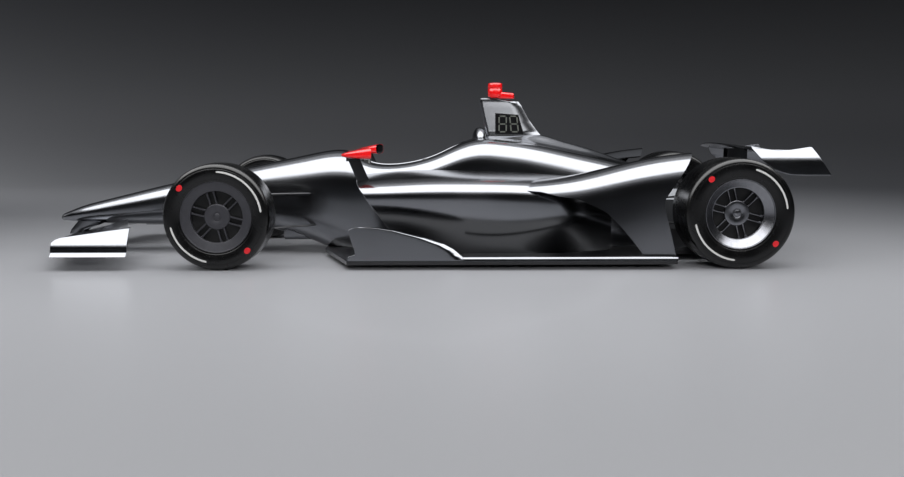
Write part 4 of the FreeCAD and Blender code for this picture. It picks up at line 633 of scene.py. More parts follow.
# rows: level, leading and trailing station, half thickness
fin_rows = np.array((
    (0.690, 1.635, 2.130, 0.120), (0.705, 1.630, 2.100, 0.090), (0.722, 1.624, 2.060, 0.062),
    (0.740, 1.620, 2.020, 0.040), (0.765, 1.614, 1.990, 0.025), (0.800, 1.607, 1.960, 0.018),
    (0.872, 1.592, 1.905, 0.0168), (0.930, 1.580, 1.872, 0.0162), (0.971, 1.573, 1.850, 0.0160),
    (1.000, 1.570, 1.828, 0.0155), (1.018, 1.570, 1.700, 0.0130), (1.026, 1.585, 1.610, 0.002)))


def foil(chord_shares):
    """Half thickness of a blade along its chord, as a share of its largest: blunt at the front,
    full over the first half and thin at the back. It is the share of the chord to a small power,
    times one less a larger power of it, held under 1."""
    return np.minimum(chord_shares ** 0.32 * (1 - chord_shares ** 2.2) ** 0.85 * 1.17, 1.0)


def slab(chord_shares):
    """Half thickness of a flat-sided blade along its chord: a round nose and a tapered tail."""
    nose = 1 - np.clip(1 - chord_shares / 0.07, 0, 1) ** 2
    tail_off = np.clip((chord_shares - 0.72) / 0.28, 0, 1)
    return np.sqrt(nose) * (1 - 0.92 * tail_off ** 2)


def blade_shell(lead, trail, half, normal, columns=48, section=foil):
    """A closed blade: sections from lead to trail, whose thickness follows the section's curve
    along a normal. lead and trail hold one point for each section, and half its thickness."""
    chord = (1 - np.cos(np.linspace(0, math.pi, columns))) / 2
    middle = lead[:, None] + (trail - lead)[:, None] * chord[None, :, None]
    half = np.broadcast_to(half, len(lead))
    off = (half[:, None] * section(chord)[None, :])[:, :, None] * np.asarray(normal, float)
    ring = np.concatenate([middle + off, (middle - off)[:, ::-1][:, 1:-1]], axis=1)
    return tube(ring)


def at_station(stations, y, z):
    """Rows of points from stations behind the front axle."""
    return np.stack([front_axle - stations, np.broadcast_to(y, stations.shape),
                     np.broadcast_to(z, stations.shape)], axis=-1)


levels = np.concatenate([np.linspace(0.690, 0.80, 24)[:-1], np.linspace(0.80, 1.0, 20)[:-1],
                         np.linspace(1.0, 1.026, 16)])
fin_lead, fin_trail, fin_half = (np.interp(levels, fin_rows[:, 0], fin_rows[:, k])
                                 for k in (1, 2, 3))
fin_blade = blade_shell(at_station(fin_lead, 0.0, levels), at_station(fin_trail, 0.0, levels),
                        fin_half, (0, 1, 0), 64, slab)

# The crown is straight at its foot, and above a quarter of its height closes as a superellipse
crown_station, crown_foot, crown_top = 1.571, 0.700, 0.829
crown_long, crown_half = 0.052, 0.120
crown_straight, crown_power = 0.25, 2.3
over = 1 - crown_straight
climb_share = np.concatenate([[0.0, crown_straight],
                              crown_straight + over * np.sin(np.linspace(0.05, math.pi / 2, 26))])
closing = np.clip((climb_share - crown_straight) / over, 0, 1)
crown_reach = np.clip(1 - closing ** crown_power, 0, 1) ** (1 / crown_power)
crown_turn = np.linspace(0, 2 * math.pi, 72, endpoint=False)
crown_y = np.outer(crown_reach, np.sin(crown_turn)) * crown_half
crown_z = (crown_foot + climb_share * (crown_top - crown_foot))[:, None]
crown = at_station(crown_station - np.outer(crown_reach, np.cos(crown_turn)) * crown_long,
                   crown_y, crown_z)
fin_shell = lacquered("fin_shell", [fin_blade, tube(crown)], "roll_hoop_fin")

# The fin has a lamp of its own, so that its flat sides are as light as in a photographer's studio
fin_only = bpy.data.collections.new("lit_by_fin_box")
fin_only.objects.link(fin_shell)
fin_box.light_linking.receiver_collection = fin_only

# Front wing
# A swept main plane and two flaps of lacquered carbon between endplates, hung from the nose on two
# plates. The endplates have a foot along their lower edge.
wing_tip, flap_root = 0.9317, 0.300
# half span, and how far ahead of the front axle the leading edge stands there
lead_places = ((0.0, 0.300, 0.932), (1.185, 1.163, 0.965))


def bend_out(levels, start, slope, soft):
    """A distance that grows with slope beyond a start, through a soft corner: half the slope
    times the sum of what lies beyond and its root mean with the corner's size."""
    beyond = levels - start
    return slope / 2 * (beyond + np.sqrt(beyond ** 2 + soft ** 2))


def front_roll(level):
    """How far the front endplates roll in at a height: 0.7 across for each 1 up, above a bend."""
    return bend_out(level, 0.139, 0.70, 0.014)


def swept_plane(y, low, rise, chord, half, setback=0.0):
    """A blade along the span. Its leading edge follows lead_places, it rises over its chord, and
    its ends are drawn in by the endplates' roll, times the eighth power of their share of it."""
    lead = at_station(setback - np.interp(np.abs(y), *lead_places), y, low)
    points, faces = blade_shell(lead, lead + (-chord, 0, rise), half, (0, 0, 1))
    share = np.clip(np.abs(points[:, 1]) / wing_tip, 0, 1)
    drawn = np.sign(points[:, 1]) * share ** 8 * front_roll(points[:, 2])
    return points - drawn[:, None] * (0, 1, 0), faces


wing_span = np.concatenate([np.linspace(0, 0.28, 16), np.linspace(0.30, wing_tip, 40)])
plane_y = np.concatenate([-wing_span[:0:-1], wing_span])
front_plane = swept_plane(plane_y, low=0.108, rise=0.044, chord=0.235, half=0.013)
lacquered("front_plane", [front_plane], "front_wing_plane")
flap_round = 0.008
flap_shares = edge_spaced(40, flap_round)
flap = swept_plane(flap_root + flap_shares * (wing_tip - flap_root), low=0.162, rise=0.080,
                   chord=0.225, half=0.0075 * rounding(flap_shares, flap_round), setback=0.225)
lacquered("front_flaps", mirrored([flap]), "front_wing_flaps")


def side_points(stations, level):
    """Points (x, z) of a side view, from stations behind the front axle."""
    return np.stack([front_axle - stations, np.broadcast_to(level, stations.shape)], axis=-1)


def plate_shell(lower, upper, middle, half, round_edge=0.004, rows=24, columns=40, lean=None):
    """A closed upright plate between two edges of points, rounded at its rim. Its sides lie at half
    its thickness from the middle plane, and lean moves them sideways by a function of each point
    and its share of the way up."""
    end_round, most_round = 0.02, 0.45
    along = edge_spaced(columns, end_round)
    knots = np.linspace(0, 1, len(lower))
    low, high = (np.stack([np.interp(along, knots, edge[:, k]) for k in (0, 1)], axis=-1)
                 for edge in (lower, upper))
    height = np.maximum(np.linalg.norm(high - low, axis=-1), 1e-6)
    near = np.minimum(round_edge / height, most_round)[:, None]
    close = (1 - np.cos(np.linspace(0, math.pi / 2, 5)))[:-1]
    up = np.concatenate([near * close, near + (1 - 2 * near) * np.linspace(0, 1, rows),
                         1 - near * close[::-1]], axis=1)
    flat = low[:, None] + (high - low)[:, None] * up[:, :, None]
    thick = half * rounding(up, near) * rounding(along, end_round)[:, None]
    middle = middle + (lean(flat, up) if lean else 0.0)
    return [shell(np.stack([flat[:, :, 0], middle + way * thick, flat[:, :, 1]], axis=-1))
            for way in (1, -1)]


def front_lean(flat, up):
    """The front endplate rolls in towards its top edge, and out into a foot along its lower."""
    return bend_out(0.104 - flat[:, :, 1], 0.0, 1.15, 0.008) - front_roll(flat[:, :, 1])


plate_y, plate_low, plate_half = 0.934, 0.0805, 0.0035
plate_stations = np.array((-0.967, -0.945, -0.919, -0.850, -0.760, -0.650, -0.533, -0.526))
plate_tops = np.array((0.162, 0.180, 0.189, 0.1985, 0.211, 0.226, 0.240, 0.241))
endplate = plate_shell(side_points(plate_stations, plate_low),
                       side_points(plate_stations, plate_tops), plate_y, plate_half,
                       round_edge=0.0035, rows=48, lean=front_lean)
lacquered("front_endplates", mirrored(endplate), "front_wing_endplates")

pylon_y, pylon_half = 0.062, 0.0058
pylon_levels = (0.125, 0.150, 0.180, 0.205, 0.232)
pylon_leads = (-1.175, -1.165, -1.140, -1.118, -1.100)
pylon_trails = (-1.105, -1.076, -0.990, -0.962, -0.949)
pylon_z = np.linspace(0.122, 0.232, 24)
pylon_ends = [at_station(np.interp(pylon_z, pylon_levels, edge), pylon_y, pylon_z)
              for edge in (pylon_leads, pylon_trails)]
pylon = blade_shell(*pylon_ends, pylon_half, (0, 1, 0))
lacquered("front_pylons", mirrored([pylon]), "front_wing_pylons")

# Rear wing
# One shallow plane of lacquered carbon whose leading edge is bowed forward, between two upright
# plates that lean in at the top. It is bolted to twin pylons on the gearbox.
rear_plate_y, rear_gap = 0.556, 0.002
rear_front, rear_back, rear_half = 3.205, 3.620, 0.0145
rear_bow, bow_lift = 0.060, 0.4
rear_front_z, rear_back_z = 0.699, 0.652


def rear_roll(level):
    """How far the rear endplates lean in at a height, above a soft bend."""
    return bend_out(level, 0.648, 0.95, 0.045)


rear_y = np.linspace(-1, 1, 60)
bow = rear_bow * (1 - rear_y ** 2)
rear_lead = at_station(rear_front - bow,
                       rear_y * (rear_plate_y - rear_roll(rear_front_z) - rear_gap),
                       rear_front_z + bow_lift * bow)
rear_trail = at_station(np.full(60, rear_back),
                        rear_y * (rear_plate_y - rear_roll(rear_back_z) - rear_gap), rear_back_z)
rear_plane = blade_shell(rear_lead, rear_trail, rear_half, (0, 0, 1))
lacquered("rear_plane", [rear_plane], "rear_wing_plane")

# rows: station of the top edge, how far the lower edge stands behind it, its height, top's height
rear_rows = np.array((
    (3.252, 0.0, 0.698, 0.712), (3.300, 0.0, 0.630, 0.703), (3.350, 0.0, 0.590, 0.695),
    (3.380, 0.0, 0.566, 0.692), (3.440, 0.0, 0.545, 0.689), (3.490, 0.0, 0.533, 0.689),
    (3.560, 0.02, 0.531, 0.699), (3.630, 0.065, 0.531, 0.709), (3.655, 0.087, 0.531, 0.664))).T
rear_stations, slant, rear_lows, rear_tops = rear_rows
rear_plate = plate_shell(side_points(rear_stations + slant, rear_lows),
                         side_points(rear_stations, rear_tops), rear_plate_y, plate_half, rows=40,
                         lean=lambda flat, up: -rear_roll(flat[:, :, 1]))
lacquered("rear_endplates", mirrored(rear_plate), "rear_wing_endplates")

# Floor fences
# Upright vanes of lacquered carbon, bonded to the floor's front corners. Their sloped edge rolls
# in, and behind them a slim strip of the same carbon is bonded along the floor's outer side.
fence_y = 0.9455
# rows: level, front and rear station
fence_rows = np.array((
    (0.0523, 0.752, 1.436), (0.0765, 0.756, 1.428), (0.0905, 0.800, 1.410), (0.120, 0.795, 1.375),
    (0.149, 0.785, 1.322), (0.190, 0.772, 1.205), (0.231, 0.760, 1.040), (0.246, 0.782, 0.930),
    (0.2505, 0.830, 0.840)))


def fence_lean(flat, up):
    """The fence's sloped edge rolls in over the last of the way to it, above the floor."""
    return -bend_out(up, 0.93, 0.30, 0.02) * np.clip((flat[:, :, 1] - 0.06) / 0.03, 0, 1)


fence_level = np.linspace(fence_rows[0, 0], fence_rows[-1, 0], 40)
fence_ends = [side_points(np.interp(fence_level, fence_rows[:, 0], fence_rows[:, k]), fence_level)
              for k in (1, 2)]
fence = plate_shell(*fence_ends, fence_y, plate_half, rows=90, columns=60, lean=fence_lean)
lacquered("floor_fence_skins", mirrored(fence), "floor_fences")

strip_y, strip_z, strip_wide, strip_tall, strip_lap = 0.9495, 0.0525, 0.0198, 0.0250, 0.001
strip_turn = np.linspace(0, math.pi / 2, 14)
strip_section = np.array([*zip(strip_y + strip_wide * np.sin(strip_turn),
                               strip_z + strip_tall * np.cos(strip_turn)),
                          (strip_y - strip_lap, strip_z),
                          (strip_y - strip_lap, strip_z + strip_tall - 0.0005)])
strip_at = np.repeat(np.linspace(1.430, 2.6885, 30)[:, None], len(strip_section), axis=1)
strip = at_station(strip_at, *strip_section.T)
lacquered("floor_edge_strips", mirrored([tube(strip)]))

# Mirrors and camera
# Moulded housings in bright red gloss lacquer. The mirrors stand on swept carbon vanes, with dark
# glass in their backs that is turned in towards the cockpit, and the camera stands on the fin.

# Red lacquer under a clear coat: saturated, with small sharp highlights, clouded over 7 cm and
# with an orange peel of 2 mm
red_lacquer, tree, place = material("red_gloss_lacquer", Roughness=0.16, Coat_Weight=0.6,
                                    Coat_Roughness=0.05)
clouds = add(tree, "ShaderNodeTexNoise", {"Vector": place, "Scale": 14.0, "Detail": 2.0})
peel = add(tree, "ShaderNodeTexNoise", {"Vector": place, "Scale": 420.0})
surface(red_lacquer, clouds.outputs[0], "dc0a0e", "ee1a1c", bump=(peel.outputs[0], 0.03, 0.001))


def rounded_ring(count, power):
    """A ring of y and z that reaches 1 along each of them: a superellipse in polar form."""
    turn = np.linspace(0, 2 * math.pi, count, endpoint=False)
    reach = (np.abs(np.cos(turn)) ** power + np.abs(np.sin(turn)) ** power) ** (-1 / power)
    return np.cos(turn) * reach, np.sin(turn) * reach


# A housing swells from a point to its mouth as a superellipse, rises a little, and is toed in
mirror_front, mirror_back = 0.697, 0.884
mirror_y, mirror_z, mirror_rise = 0.620, 0.660, 0.011
mirror_half_y, mirror_half_z, mirror_toe = 0.0845, 0.0360, 0.045
along = np.concatenate([np.linspace(0, 0.3, 20) ** 2 / 0.3, np.linspace(0.32, 1, 30)])[:, None]
swell = (1 - (1 - along) ** 3.2) ** (1 / 2.6)
ring_y, ring_z = rounded_ring(64, 3.4)
stations = mirror_front + along * (mirror_back - mirror_front - mirror_toe * (1 - ring_y) / 2)
housing = at_station(stations, mirror_y + mirror_half_y * swell * ring_y,
                     mirror_z + mirror_rise * along
                     + mirror_half_z * swell * ring_z * (0.50 + 0.50 * along))
mouth = housing[-1:]


def in_mouth(rings):
    """The mouth's rim, shrunk to each share of itself about its middle and moved on by a depth."""
    middle = mouth.mean(axis=1, keepdims=True)
    return np.concatenate([middle + (mouth - middle) * share + (depth, 0, 0)
                           for share, depth in rings])


recess = in_mouth(((0.97, -0.001), (0.94, 0.0), (0.91, 0.004)))
new_piece("mirror_housings",
          mirrored([tube(np.concatenate([housing, recess]))]), red_lacquer, "chassis",
          ["mirror_pods"])

# Tinted mirror glass: a dark and nearly perfect mirror, with a breath of haze in patches of 3 cm
dark_glass, tree, place = material("mirror_glass", Metallic=1.0, Roughness=0.05)
haze = add(tree, "ShaderNodeTexNoise", {"Vector": place, "Scale": 30.0})
surface(dark_glass, haze.outputs[0], "1c1e21", "282b2f")
pane = in_mouth(((0.90, 0.006), (0.90, -0.0015), (0.86, -0.003), (0.5, -0.0035)))
new_piece("mirror_glass_panes", mirrored([tube(pane)]), dark_glass, "chassis",
          ["mirror_glasses"])

# Carbon twill of 3 mm tows under clear resin: black with a faint grey check, as two sets of
# stripes at right angles that shift by one each row, and a glossy coat over it
carbon, tree, place = material("carbon_twill", Roughness=0.28, Coat_Weight=0.5, Coat_Roughness=0.08)
quarter = (0.0, math.pi / 2, math.pi / 2)
across = add(tree, "ShaderNodeMapping", {"Vector": place, "Rotation": quarter}).outputs[0]
warp, weft = (add(tree, "ShaderNodeTexWave", {"Vector": way, "Scale": 52.0},
                  bands_direction="DIAGONAL").outputs[0] for way in (place, across))
tows = add(tree, "ShaderNodeMath", {0: warp, 1: weft}, operation="MULTIPLY").outputs[0]
surface(carbon, tows, "0d0d0f", "27282b", bump=(tows, 0.15, 0.0004))

vane_z = np.linspace(0.470, 0.640, 30)
vane_lead, vane_chord, vane_half = 0.7375 + (0.631 - vane_z) * 0.425, 0.075, 0.0048
vane = blade_shell(at_station(vane_lead, mirror_y, vane_z),
                   at_station(vane_lead + vane_chord, mirror_y, vane_z), vane_half, (0, 1, 0))
new_piece("mirror_vanes", mirrored([vane]), carbon, "chassis", ["mirror_stalks"])

# The camera's can stands on the fin on a short neck, with a box behind it that ends in a curve
can_station, can_radius = 1.672, 0.0485
can_profile = ((0.0001, 1.1235), (0.038, 1.1235), (0.045, 1.1205), (can_radius, 1.114),
               (can_radius, 1.088), (0.0472, 1.0865), (0.0472, 1.0835), (can_radius, 1.082),
               (can_radius, 1.036), (0.044, 1.030), (0.0001, 1.030))
neck_profile = ((0.0001, 1.034), (0.030, 1.034), (0.030, 1.0235), (0.0001, 1.0235))
turned_parts = []
for profile, count in ((can_profile, 72), (neck_profile, 48)):
    rings = spun(profile, count, 2 * math.pi * (count - 1) / count).transpose(1, 0, 2)
    turned_parts.append(shell(rings + (front_axle - can_station, 0, 0), closed=True))
box_from, box_long, box_level = 0.02, 0.108, 1.0425
box_half_y, box_half_z = 0.031, 0.0235
box_along = np.linspace(0, 1, 30)[:, None]
box_end = np.sqrt(np.clip(1 - np.clip((box_along - 0.9) / 0.1, 0, 1) ** 2, 0, 1))
box_z = ring_z * (box_half_z - 0.0035 * box_along) * (0.5 + 0.5 * box_end)
box_at = np.broadcast_to(can_station + box_from + box_along * box_long, box_z.shape)
tail_box = at_station(box_at, box_half_y * ring_y * (0.35 + 0.65 * box_end),
                      box_level - 0.006 * box_along + box_z)
new_piece("camera_housing", turned_parts + [tube(tail_box)], red_lacquer, "chassis",
          ["camera_pod"])

# Display panels
# A panel of smoked acrylic, moulded in one and bonded to each side of the fin. Behind its face
# are two figures of seven bars, which are unlit.

# Smoked acrylic, moulded: near black and glossy, greyed by fine dust in patches of 2 cm
panel_face, tree, place = material("display_face", Roughness=0.22, Coat_Weight=0.3)
dust = add(tree, "ShaderNodeTexNoise", {"Vector": place, "Scale": 60.0, "Detail": 3.0})
surface(panel_face, dust.outputs[0], "0a0a0b", "151517")
# Frosted diffusers of lamps that are off: a flat warm grey, uneven over 1 cm
bar_grey, tree, place = material("unlit_bars", Roughness=0.4)
frost = add(tree, "ShaderNodeTexNoise", {"Vector": place, "Scale": 90.0})
surface(bar_grey, frost.outputs[0], "4a4c47", "5d605a")

panel_y, panel_half, panel_front = 0.0176, 0.0022, 1.673
panel = plate_shell(side_points(panel_front + np.array((0.0, 0.1, 0.193)), 0.782),
                    side_points(panel_front + np.array((0.0, 0.08, 0.154)),
                                np.array((0.9245, 0.919, 0.913))),
                    panel_y + panel_half, panel_half, round_edge=0.002)
new_piece("display_panels", mirrored(panel), panel_face, "chassis", ["number_panels"])

# Each bar is a flat strip with pointed ends. The second figure leans to keep to the fin's slope
figure_tall, figure_low, bar_half = 0.104, 0.799, 0.0045
bar_back, bar_face = panel_y + 0.003, panel_y + 0.00495
bar_lines = np.array((
    ((0.0, 0.0), (0.04, 0.0)), ((0.0, 0.052), (0.04, 0.052)), ((0.0, 0.104), (0.04, 0.104)),
    ((-0.004, 0.004), (-0.004, 0.048)), ((-0.004, 0.056), (-0.004, 0.100)),
    ((0.044, 0.004), (0.044, 0.048)), ((0.044, 0.056), (0.044, 0.100))))
bar_shells = []
for figure_at, figure_lean in ((0.030, 0.0), (0.100, 0.012)):
    for start, end in bar_lines:
        way = (end - start) / np.linalg.norm(end - start) * bar_half
        wide = np.array((-way[1], way[0]))
        outline = np.array((start, start + way + wide, end - way + wide, end, end - way - wide,
                            start + way - wide))
        lean_back = figure_lean * (1 - outline[:, 1] / figure_tall)
        bar_x = front_axle - panel_front - figure_at - outline[:, 0] - lean_back
        rings = [np.stack([bar_x, np.full(6, bar_y), figure_low + outline[:, 1]], axis=-1)
                 for bar_y in (bar_back, bar_face)]
        bar_shells.append(tube(np.array(rings)))
new_piece("display_bars", mirrored(bar_shells), bar_grey, "chassis", smooth=False)

# Tyres
# Slick racing tyres, vulcanised rubber that is polished for show: glossy black sidewalls with
# moulded rings, and a satin tread. Plain white arcs and red dots are painted on the outer sides.

# Polished rubber: near black, glossy where the polish lies and satin where it has dried, in
# patches of 11 cm, with a grain of 2 mm
rubber, tree, place = material("slick_rubber", Roughness=0.3)
bloom = add(tree, "ShaderNodeTexNoise", {"Vector": place, "Scale": 9.0, "Detail": 4.0})
grain = add(tree, "ShaderNodeTexNoise", {"Vector": place, "Scale": 500.0})
surface(rubber, bloom.outputs[0], "030303", "080809", sheen=(0.3, 0.7, 0.20, 0.32),
        bump=(grain.outputs[0], 0.05, 0.0005))
# Stencil paint on rubber: satin, and mottled over 8 mm where the black shows through
white_paint, white_tree, white_place = material("sidewall_white", Roughness=0.45)
red_paint, red_tree, red_place = material("sidewall_red", Roughness=0.4)
for paint, tree, place, dark, light in ((white_paint, white_tree, white_place, "b0b0ae", "c8c8c6"),
                                        (red_paint, red_tree, red_place, "b5161d", "cf2029")):
    mottle = add(tree, "ShaderNodeTexNoise", {"Vector": place, "Scale": 120.0})
    surface(paint, mottle.outputs[0], dark, light)

# every tyre: the sidewall's inner radius, its bulge and its moulded rings, and the shoulder
rim_edge, bulge_from, bulge_by = 0.2078, 0.0145, 0.0140
ring_tall, ring_wide = 0.0011, 0.0016
shoulder_drop, shoulder_in, shoulder_up, tread_up = 0.030, 0.034, 0.0265, 0.0035
# arcs and dots are spans of degrees round the axle, and the rims' sizes are for the next section
wheels = {"front": dict(x=front_axle, y=0.830, radius=0.3117, half=0.140, rim_half=0.130,
                        dish=0.040, lip=0.016, arcs=((92, 174), (-78, -12)),
                        dots=((35.6, 44.4), (222.6, 231.4))),
          "rear": dict(x=front_axle - 3.050, y=0.790, radius=0.3259, half=0.180, rim_half=0.170,
                       dish=0.075, lip=0.030, arcs=((106, 174), (-84, -12)),
                       dots=((44.3, 52.7), (215.8, 224.2)))}


def sidewall(radii, wheel):
    """How far the sidewall stands out at each radius: a soft bulge, which is part of a sine wave,
    with two moulded rings on it, which are bell curves."""
    share = (radii - rim_edge) / (wheel["radius"] - shoulder_drop - rim_edge)
    wave = np.sin(np.clip(share, 0, 1) * math.pi * 0.62 + 0.25)
    rings = sum(ring_tall * np.exp(-((radii - ring) / ring_wide) ** 2)
                for ring in (rim_edge + 0.010, wheel["radius"] - shoulder_drop - 0.004))
    return np.minimum(wheel["half"] - bulge_from + bulge_by * wave + rings, wheel["half"])


def tyre_profile(wheel):
    """Half of the tyre's section as (radius, offset): the sidewall, a shoulder that is a quarter
    of an ellipse, and a tread that is crowned as a parabola."""
    radii = np.linspace(rim_edge, wheel["radius"] - shoulder_drop, 60)
    wall = np.stack([radii, sidewall(radii, wheel)], axis=-1)
    turn = np.linspace(0, math.pi / 2, 18)[1:]
    flat = wall[-1, 1] - shoulder_in
    shoulder = np.stack([wall[-1, 0] + shoulder_up * np.sin(turn),
                         flat + shoulder_in * np.cos(turn)], axis=-1)
    tread_y = np.linspace(flat, 0, 20)[1:]
    tread = np.stack([shoulder[-1, 0] + tread_up * (1 - (tread_y / flat) ** 2), tread_y], axis=-1)
    return np.concatenate([wall, shoulder, tread])


def on_axle(wheel, side, angle, radius, offset):
    """Points at an angle and a radius round a wheel's axle, which runs along Y, and at an offset
    along it. The wheel stands on the floor, so its axle is a tyre's radius up."""
    x, y, z = np.broadcast_arrays(wheel["x"] + np.cos(angle) * radius,
                                  side * (wheel["y"] + offset),
                                  wheel["radius"] + np.sin(angle) * radius)
    return np.stack([x, y, z], axis=-1)


def turned(profile, wheel, side, count=160):
    """A section of (radius, offset) points turned round a wheel's axle."""
    angle = np.linspace(0, 2 * math.pi, count, endpoint=False)
    radius, offset = np.asarray(profile, float).T[:, :, None]
    return shell(on_axle(wheel, side, angle, radius, offset), closed=True)


def painted(wheel, side, span, steps, power, wide):
    """A raised patch of paint halfway up the sidewall, from one angle of a span to the other. Its
    half width is the root of one less a power of the way from its middle: a power of 2 gives a
    dot, and a large one a band with blunt ends."""
    paint_back, paint_face = -0.0006, 0.0005
    sweep = np.radians(np.linspace(*span, steps))[:, None]
    swell = np.clip(1 - np.abs(np.linspace(-1, 1, steps)[:, None]) ** power, 0, 1) ** 0.5
    halfway = (rim_edge + wheel["radius"]) / 2 + 0.004
    radii = halfway + np.linspace(-1, 1, 9) * wide * swell
    wall = sidewall(radii, wheel)
    bottom, top = (on_axle(wheel, side, sweep, radii, wall + lift)
                   for lift in (paint_back, paint_face))
    ends = [shell(np.stack([top[row], bottom[row]], axis=1)) for row in (0, -1)]
    return [shell(np.concatenate([top, bottom[:, ::-1]], axis=1), closed=True)] + ends


for end, wheel in wheels.items():
    half_section = tyre_profile(wheel)
    section = np.concatenate([half_section, half_section[-2::-1] * (1, -1), half_section[:1]])
    for name, side in sides:
        body = f"{end}_{name}_rolling"
        new_piece(f"{end}_{name}_slick", [turned(section, wheel, side)], rubber, body,
                  [f"{end}_{name}_tyre"])
        for label, paint, steps, power, wide in (("arcs", white_paint, 60, 40, 0.0055),
                                                 ("dots", red_paint, 24, 2, 0.0170)):
            patches = [painted(wheel, side, span, steps, power, wide) for span in wheel[label]]
            new_piece(f"{end}_{name}_{label}", patches[0] + patches[1], paint, body)

# Wheels
# Forged magnesium rims with six pairs of thin spokes. The front ones are black, and the rear ones
# are bright turned metal with a deep dish. A black sheet stands behind the spokes: it is painted
# shade, which keeps the gaps between them dark.

# The front rims are powder coated black, with soft broad highlights. The rear ones are turned on
# a lathe and left bare: pale metal whose sheen drifts over 2 cm
forged_black, black_tree, black_place = material("black_forged_rim", Metallic=0.2, Roughness=0.4)
forged_bright, bright_tree, bright_place = material("turned_magnesium", Metallic=1.0,
                                                    Roughness=0.25)
for finish, tree, place, dark, light, sheen in (
        (forged_black, black_tree, black_place, "2e2e32", "3a3a3f", (0.34, 0.46)),
        (forged_bright, bright_tree, bright_place, "77787c", "929398", (0.20, 0.30))):
    drift = add(tree, "ShaderNodeTexNoise", {"Vector": place, "Scale": 45.0, "Detail": 3.0})
    surface(finish, drift.outputs[0], dark, light, sheen=(0.0, 1.0, *sheen))
# Matt black paint on the sheet behind the spokes, which is painted shade: it keeps the gaps between
# the spokes dark, with soot over 3 cm
shade_sheet_black, tree, place = material("matt_shade_sheet_paint", Roughness=0.6)
soot = add(tree, "ShaderNodeTexNoise", {"Vector": place, "Scale": 30.0})
surface(shade_sheet_black, soot.outputs[0], "070708", "111112")

# A spoke widens at both its ends, and dips a little between them
spoke_from, spoke_to, spoke_apart = 0.060, 0.1515, 0.0195
spoke_half, spoke_flare, spoke_deep, spoke_dip, spoke_back = 0.0050, 0.004, 0.009, 0.002, 0.012
reach = np.linspace(spoke_from, spoke_to, 16)[:, None]
share = (reach - spoke_from) / (spoke_to - spoke_from)
wide = (spoke_half + spoke_flare * np.clip(1 - share / 0.25, 0, 1) ** 2
        + spoke_flare * np.clip((share - 0.8) / 0.2, 0, 1) ** 2)
spoke_ring, spoke_depth = rounded_ring(20, 5)
for end, finish, slot in (("front", forged_black, "wheel_dark"),
                          ("rear", forged_bright, "wheel_bright")):
    wheel = wheels[end]
    outer = wheel["rim_half"]
    face = outer - wheel["dish"]
    lip_edge = face + wheel["lip"]
    corners = np.array((
        (0.2070, outer - 0.004), (0.2060, outer - 0.0005), (0.2035, outer),
        (0.2010, outer - 0.0015), (0.1995, outer - 0.006), (0.1560, lip_edge + 0.002),
        (0.1525, lip_edge + 0.0005), (0.1505, lip_edge - 0.003), (0.1500, face),
        (0.1530, face - 0.012), (0.1560, face - 0.030), (0.1740, face - 0.034),
        (0.1775, -outer + 0.02), (0.1900, -outer + 0.006), (0.2055, -outer),
        (0.2070, -outer + 0.004), (0.2070, -outer + 0.012), (0.1910, -outer + 0.016),
        (0.1905, outer - 0.030), (0.1920, outer - 0.016), (0.2065, outer - 0.012),
        (0.2070, outer - 0.004)))
    # points 1.2 mm to each side of every corner keep its shading crisp
    lengths = np.append(0, np.cumsum(np.linalg.norm(np.diff(corners, axis=0), axis=1)))
    beside = [np.clip(lengths[1:-1] + off, 0, lengths[-1]) for off in (0.0012, -0.0012)]
    fine = np.sort(np.concatenate([lengths, *beside]))
    rim_section = np.stack([np.interp(fine, lengths, corners[:, k]) for k in (0, 1)], axis=-1)
    hub_section = ((0.0001, face + 0.006), (0.0180, face + 0.006), (0.0200, face + 0.004),
                   (0.0205, face + 0.0005), (0.0260, face), (0.0280, face + 0.002),
                   (0.0690, face + 0.002), (0.0735, face + 0.0005), (0.0755, face - 0.004),
                   (0.0750, face - 0.018), (0.0640, face - 0.022), (0.0001, face - 0.022))
    # the black sheet behind the spokes is painted shade that darkens the gaps in the wheel
    shade_sheet_section = ((0.0600, face - 0.023), (0.1200, face - 0.030), (0.1575, face - 0.026),
                      (0.1575, face - 0.029), (0.1200, face - 0.033), (0.0600, face - 0.026),
                      (0.0600, face - 0.023))
    for name, side in sides:
        shells = [turned(rim_section, wheel, side, 128), turned(hub_section, wheel, side, 72)]
        offset = (face - spoke_back + spoke_deep * spoke_depth
                  - spoke_dip * np.sin(share * math.pi))
        for angle in np.radians(15 + 60 * np.arange(6)):
            for apart in (-spoke_apart, spoke_apart):
                across = apart * (0.94 + 0.08 * share) + wide * spoke_ring
                spoke = np.stack([
                    wheel["x"] + math.cos(angle) * reach - math.sin(angle) * across,
                    side * (wheel["y"] + offset),
                    wheel["radius"] + math.sin(angle) * reach + math.cos(angle) * across], axis=-1)
                shells.append(tube(spoke))
        body = f"{end}_{name}_rolling"
        new_piece(f"{end}_{name}_rim", shells, finish, body, [f"{end}_{name}_wheel"])
        # each wheel gets its black sheet of painted shade behind the spokes
        new_piece(f"{end}_{name}_shade_sheet", [turned(shade_sheet_section, wheel, side, 96)],
                  shade_sheet_black, body)

# Headrest
# The padded surround at the cockpit's rear and sides: foam in a black cover that is stitched at
# its back and corners, a horseshoe of swelling pads that tapers towards its front ends.

# Coated fabric: matt black with a soft sheen, and cells of 2.4 mm that stand for its weave
pad_cover, tree, place = material("padded_cover", Roughness=0.7, Sheen_Weight=0.2)
weave = add(tree, "ShaderNodeTexVoronoi", {"Vector": place, "Scale": 420.0}).outputs[0]
surface(pad_cover, weave, "19191b", "2a2a2d", bump=(weave, 0.4, 0.0008))

